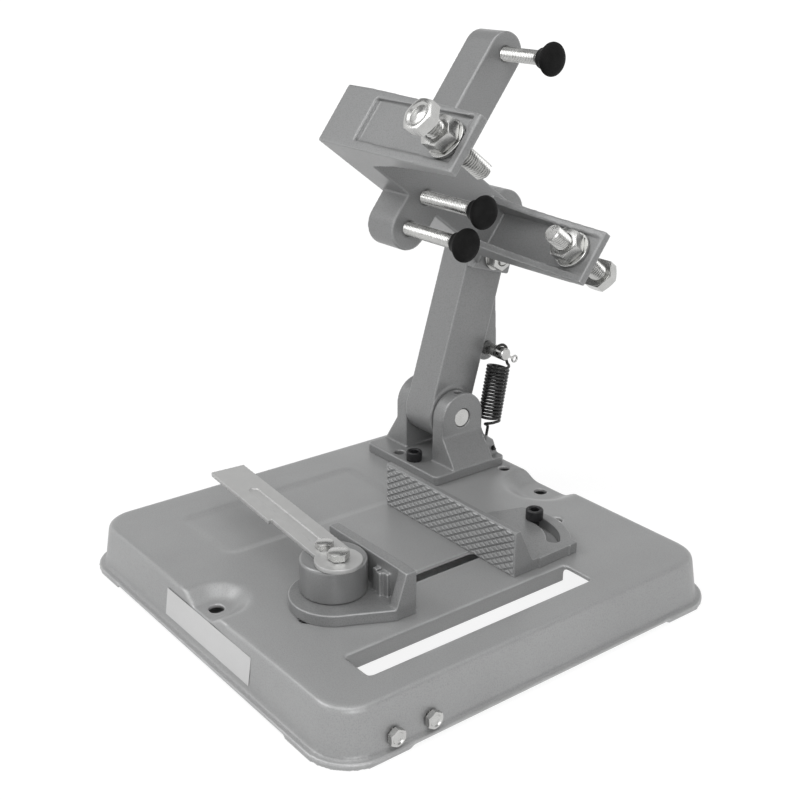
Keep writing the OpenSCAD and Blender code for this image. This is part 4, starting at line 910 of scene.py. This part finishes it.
shader.inputs["Base Color"].default_value = (0.8, 0.8, 0.8, 1)
shader.inputs["Roughness"].default_value = 0.9
spot = tree.nodes.new("ShaderNodeSeparateXYZ")
tree.links.new(objectPlace(tree), spot.inputs[0])
wide = mathNode(tree, "ABSOLUTE", spot.outputs[0], 0)
deep = mathNode(tree, "ABSOLUTE", spot.outputs[1], 0)
halfX, halfY = (v * mm for v in floorSet["under"])
start, end = (v * mm for v in floorSet["slotLight"])
inside = mathNode(tree, "MULTIPLY", mathNode(tree, "LESS_THAN", wide, halfX),
                  mathNode(tree, "LESS_THAN", deep, halfY))
paintedLightStrip = mathNode(tree, "MULTIPLY", mathNode(tree, "GREATER_THAN", spot.outputs[0], start),
                 mathNode(tree, "LESS_THAN", spot.outputs[0], end))
# painted shade: under the tray the floor's glow is taken away by position, apart from a strip of
# painted light below the disc slot
paintedShade = mathNode(tree, "MULTIPLY", inside, mathNode(tree, "SUBTRACT", 1.0, paintedLightStrip))
# away from the object the floor runs out into the white of the studio
reach = tree.nodes.new("ShaderNodeVectorMath")
reach.operation = "LENGTH"
tree.links.new(objectPlace(tree), reach.inputs[0])
fade = tree.nodes.new("ShaderNodeMapRange")
tree.links.new(reach.outputs["Value"], fade.inputs["Value"])
for key, value in (("From Min", floorSet["near"]), ("From Max", floorSet["far"]),
                   ("To Min", floorSet["share"]), ("To Max", 1.0)):
    fade.inputs[key].default_value = value
share = mathNode(tree, "MULTIPLY", fade.outputs["Result"], mathNode(tree, "SUBTRACT", 1.0, paintedShade))
glow = tree.nodes.new("ShaderNodeEmission")
glow.inputs["Color"].default_value = (1, 1, 1, 1)
glow.inputs["Strength"].default_value = floorSet["glow"]
blendIn = tree.nodes.new("ShaderNodeMixShader")
tree.links.new(mathNode(tree, "MULTIPLY", seenOrMirrored(tree), share), blendIn.inputs[0])
tree.links.new(shader.outputs[0], blendIn.inputs[1])
tree.links.new(glow.outputs[0], blendIn.inputs[2])
# from underneath the floor is clear, so that the open bottom of the tray can be seen
clear = tree.nodes.new("ShaderNodeMixShader")
tree.links.new(tree.nodes.new("ShaderNodeNewGeometry").outputs["Backfacing"], clear.inputs[0])
tree.links.new(blendIn.outputs[0], clear.inputs[1])
tree.links.new(tree.nodes.new("ShaderNodeBsdfTransparent").outputs[0], clear.inputs[2])
tree.links.new(clear.outputs[0], tree.nodes["Material Output"].inputs["Surface"])
floor.data.materials.append(floorMaterial)

studioSet = {"soft": 0.50, "white": 1.0,
             "mirrored": [(0.0, 1.0), (0.42, 1.0), (0.52, 0.25), (0.70, 0.22), (0.80, 1.0),
                          (1.0, 1.0)]}
world = bpy.data.worlds.new("studio")
bpy.context.scene.world = world
world.use_nodes = True
tree = world.node_tree
ambient = tree.nodes["Background"]
ambient.inputs["Color"].default_value = (1, 1, 1, 1)
ambient.inputs["Strength"].default_value = studioSet["soft"]
white = tree.nodes.new("ShaderNodeBackground")
direction = tree.nodes.new("ShaderNodeSeparateXYZ")
tree.links.new(tree.nodes.new("ShaderNodeTexCoord").outputs["Generated"], direction.inputs[0])
# a white horizon, a dimmer band of studio wall and a bright ceiling, for the metal to mirror
studio = rampNode(tree, direction.outputs[2], studioSet["mirrored"])
plain = tree.nodes.new("ShaderNodeLightPath").outputs["Is Camera Ray"]
tree.links.new(mathNode(tree, "MAXIMUM", studio.outputs["Color"], plain), white.inputs["Color"])
white.inputs["Strength"].default_value = studioSet["white"]
blendIn = tree.nodes.new("ShaderNodeMixShader")
tree.links.new(seenOrMirrored(tree), blendIn.inputs[0])
tree.links.new(ambient.outputs[0], blendIn.inputs[1])
tree.links.new(white.outputs[0], blendIn.inputs[2])
tree.links.new(blendIn.outputs[0], tree.nodes["World Output"].inputs["Surface"])

lamps = {"key": ((-0.9, -1.2, 1.5), 1.0, 14), "fill": ((1.5, -0.7, 0.9), 1.0, 10),
         "top": ((0.3, -0.3, 1.8), 1.2, 8)}
for name, (spot, size, power) in lamps.items():
    data = bpy.data.lights.new(name, "AREA")
    data.size, data.energy = size, power
    lamp = bpy.data.objects.new(name, data)
    bpy.context.scene.collection.objects.link(lamp)
    lamp.location = spot
    lamp.rotation_euler = (Vector((0, 0, 0.1)) - Vector(spot)).to_track_quat("-Z", "Y").to_euler()

# the photograph's own view: where it stands, and its right, up and backward ways
viewSet = {"lens": 54.728, "sensor": 36, "at": (0.48251, -0.37162, 0.34530),
           "ways": ((0.61305745, 0.79002862, 0.00391736), (-0.28784685, 0.21874431, 0.93235997),
                    (0.73573416, -0.57271783, 0.36151008))}
lens = bpy.data.cameras.new("view")
lens.lens, lens.sensor_width = viewSet["lens"], viewSet["sensor"]
lens.clip_start, lens.clip_end = 0.01, 50
camera = bpy.data.objects.new("view", lens)
bpy.context.scene.collection.objects.link(camera)
turn = Matrix(viewSet["ways"]).transposed().to_4x4()
camera.matrix_world = Matrix.Translation(viewSet["at"]) @ turn
bpy.context.scene.camera = camera
bpy.context.scene.view_settings.view_transform = "Standard"
print("stage set")
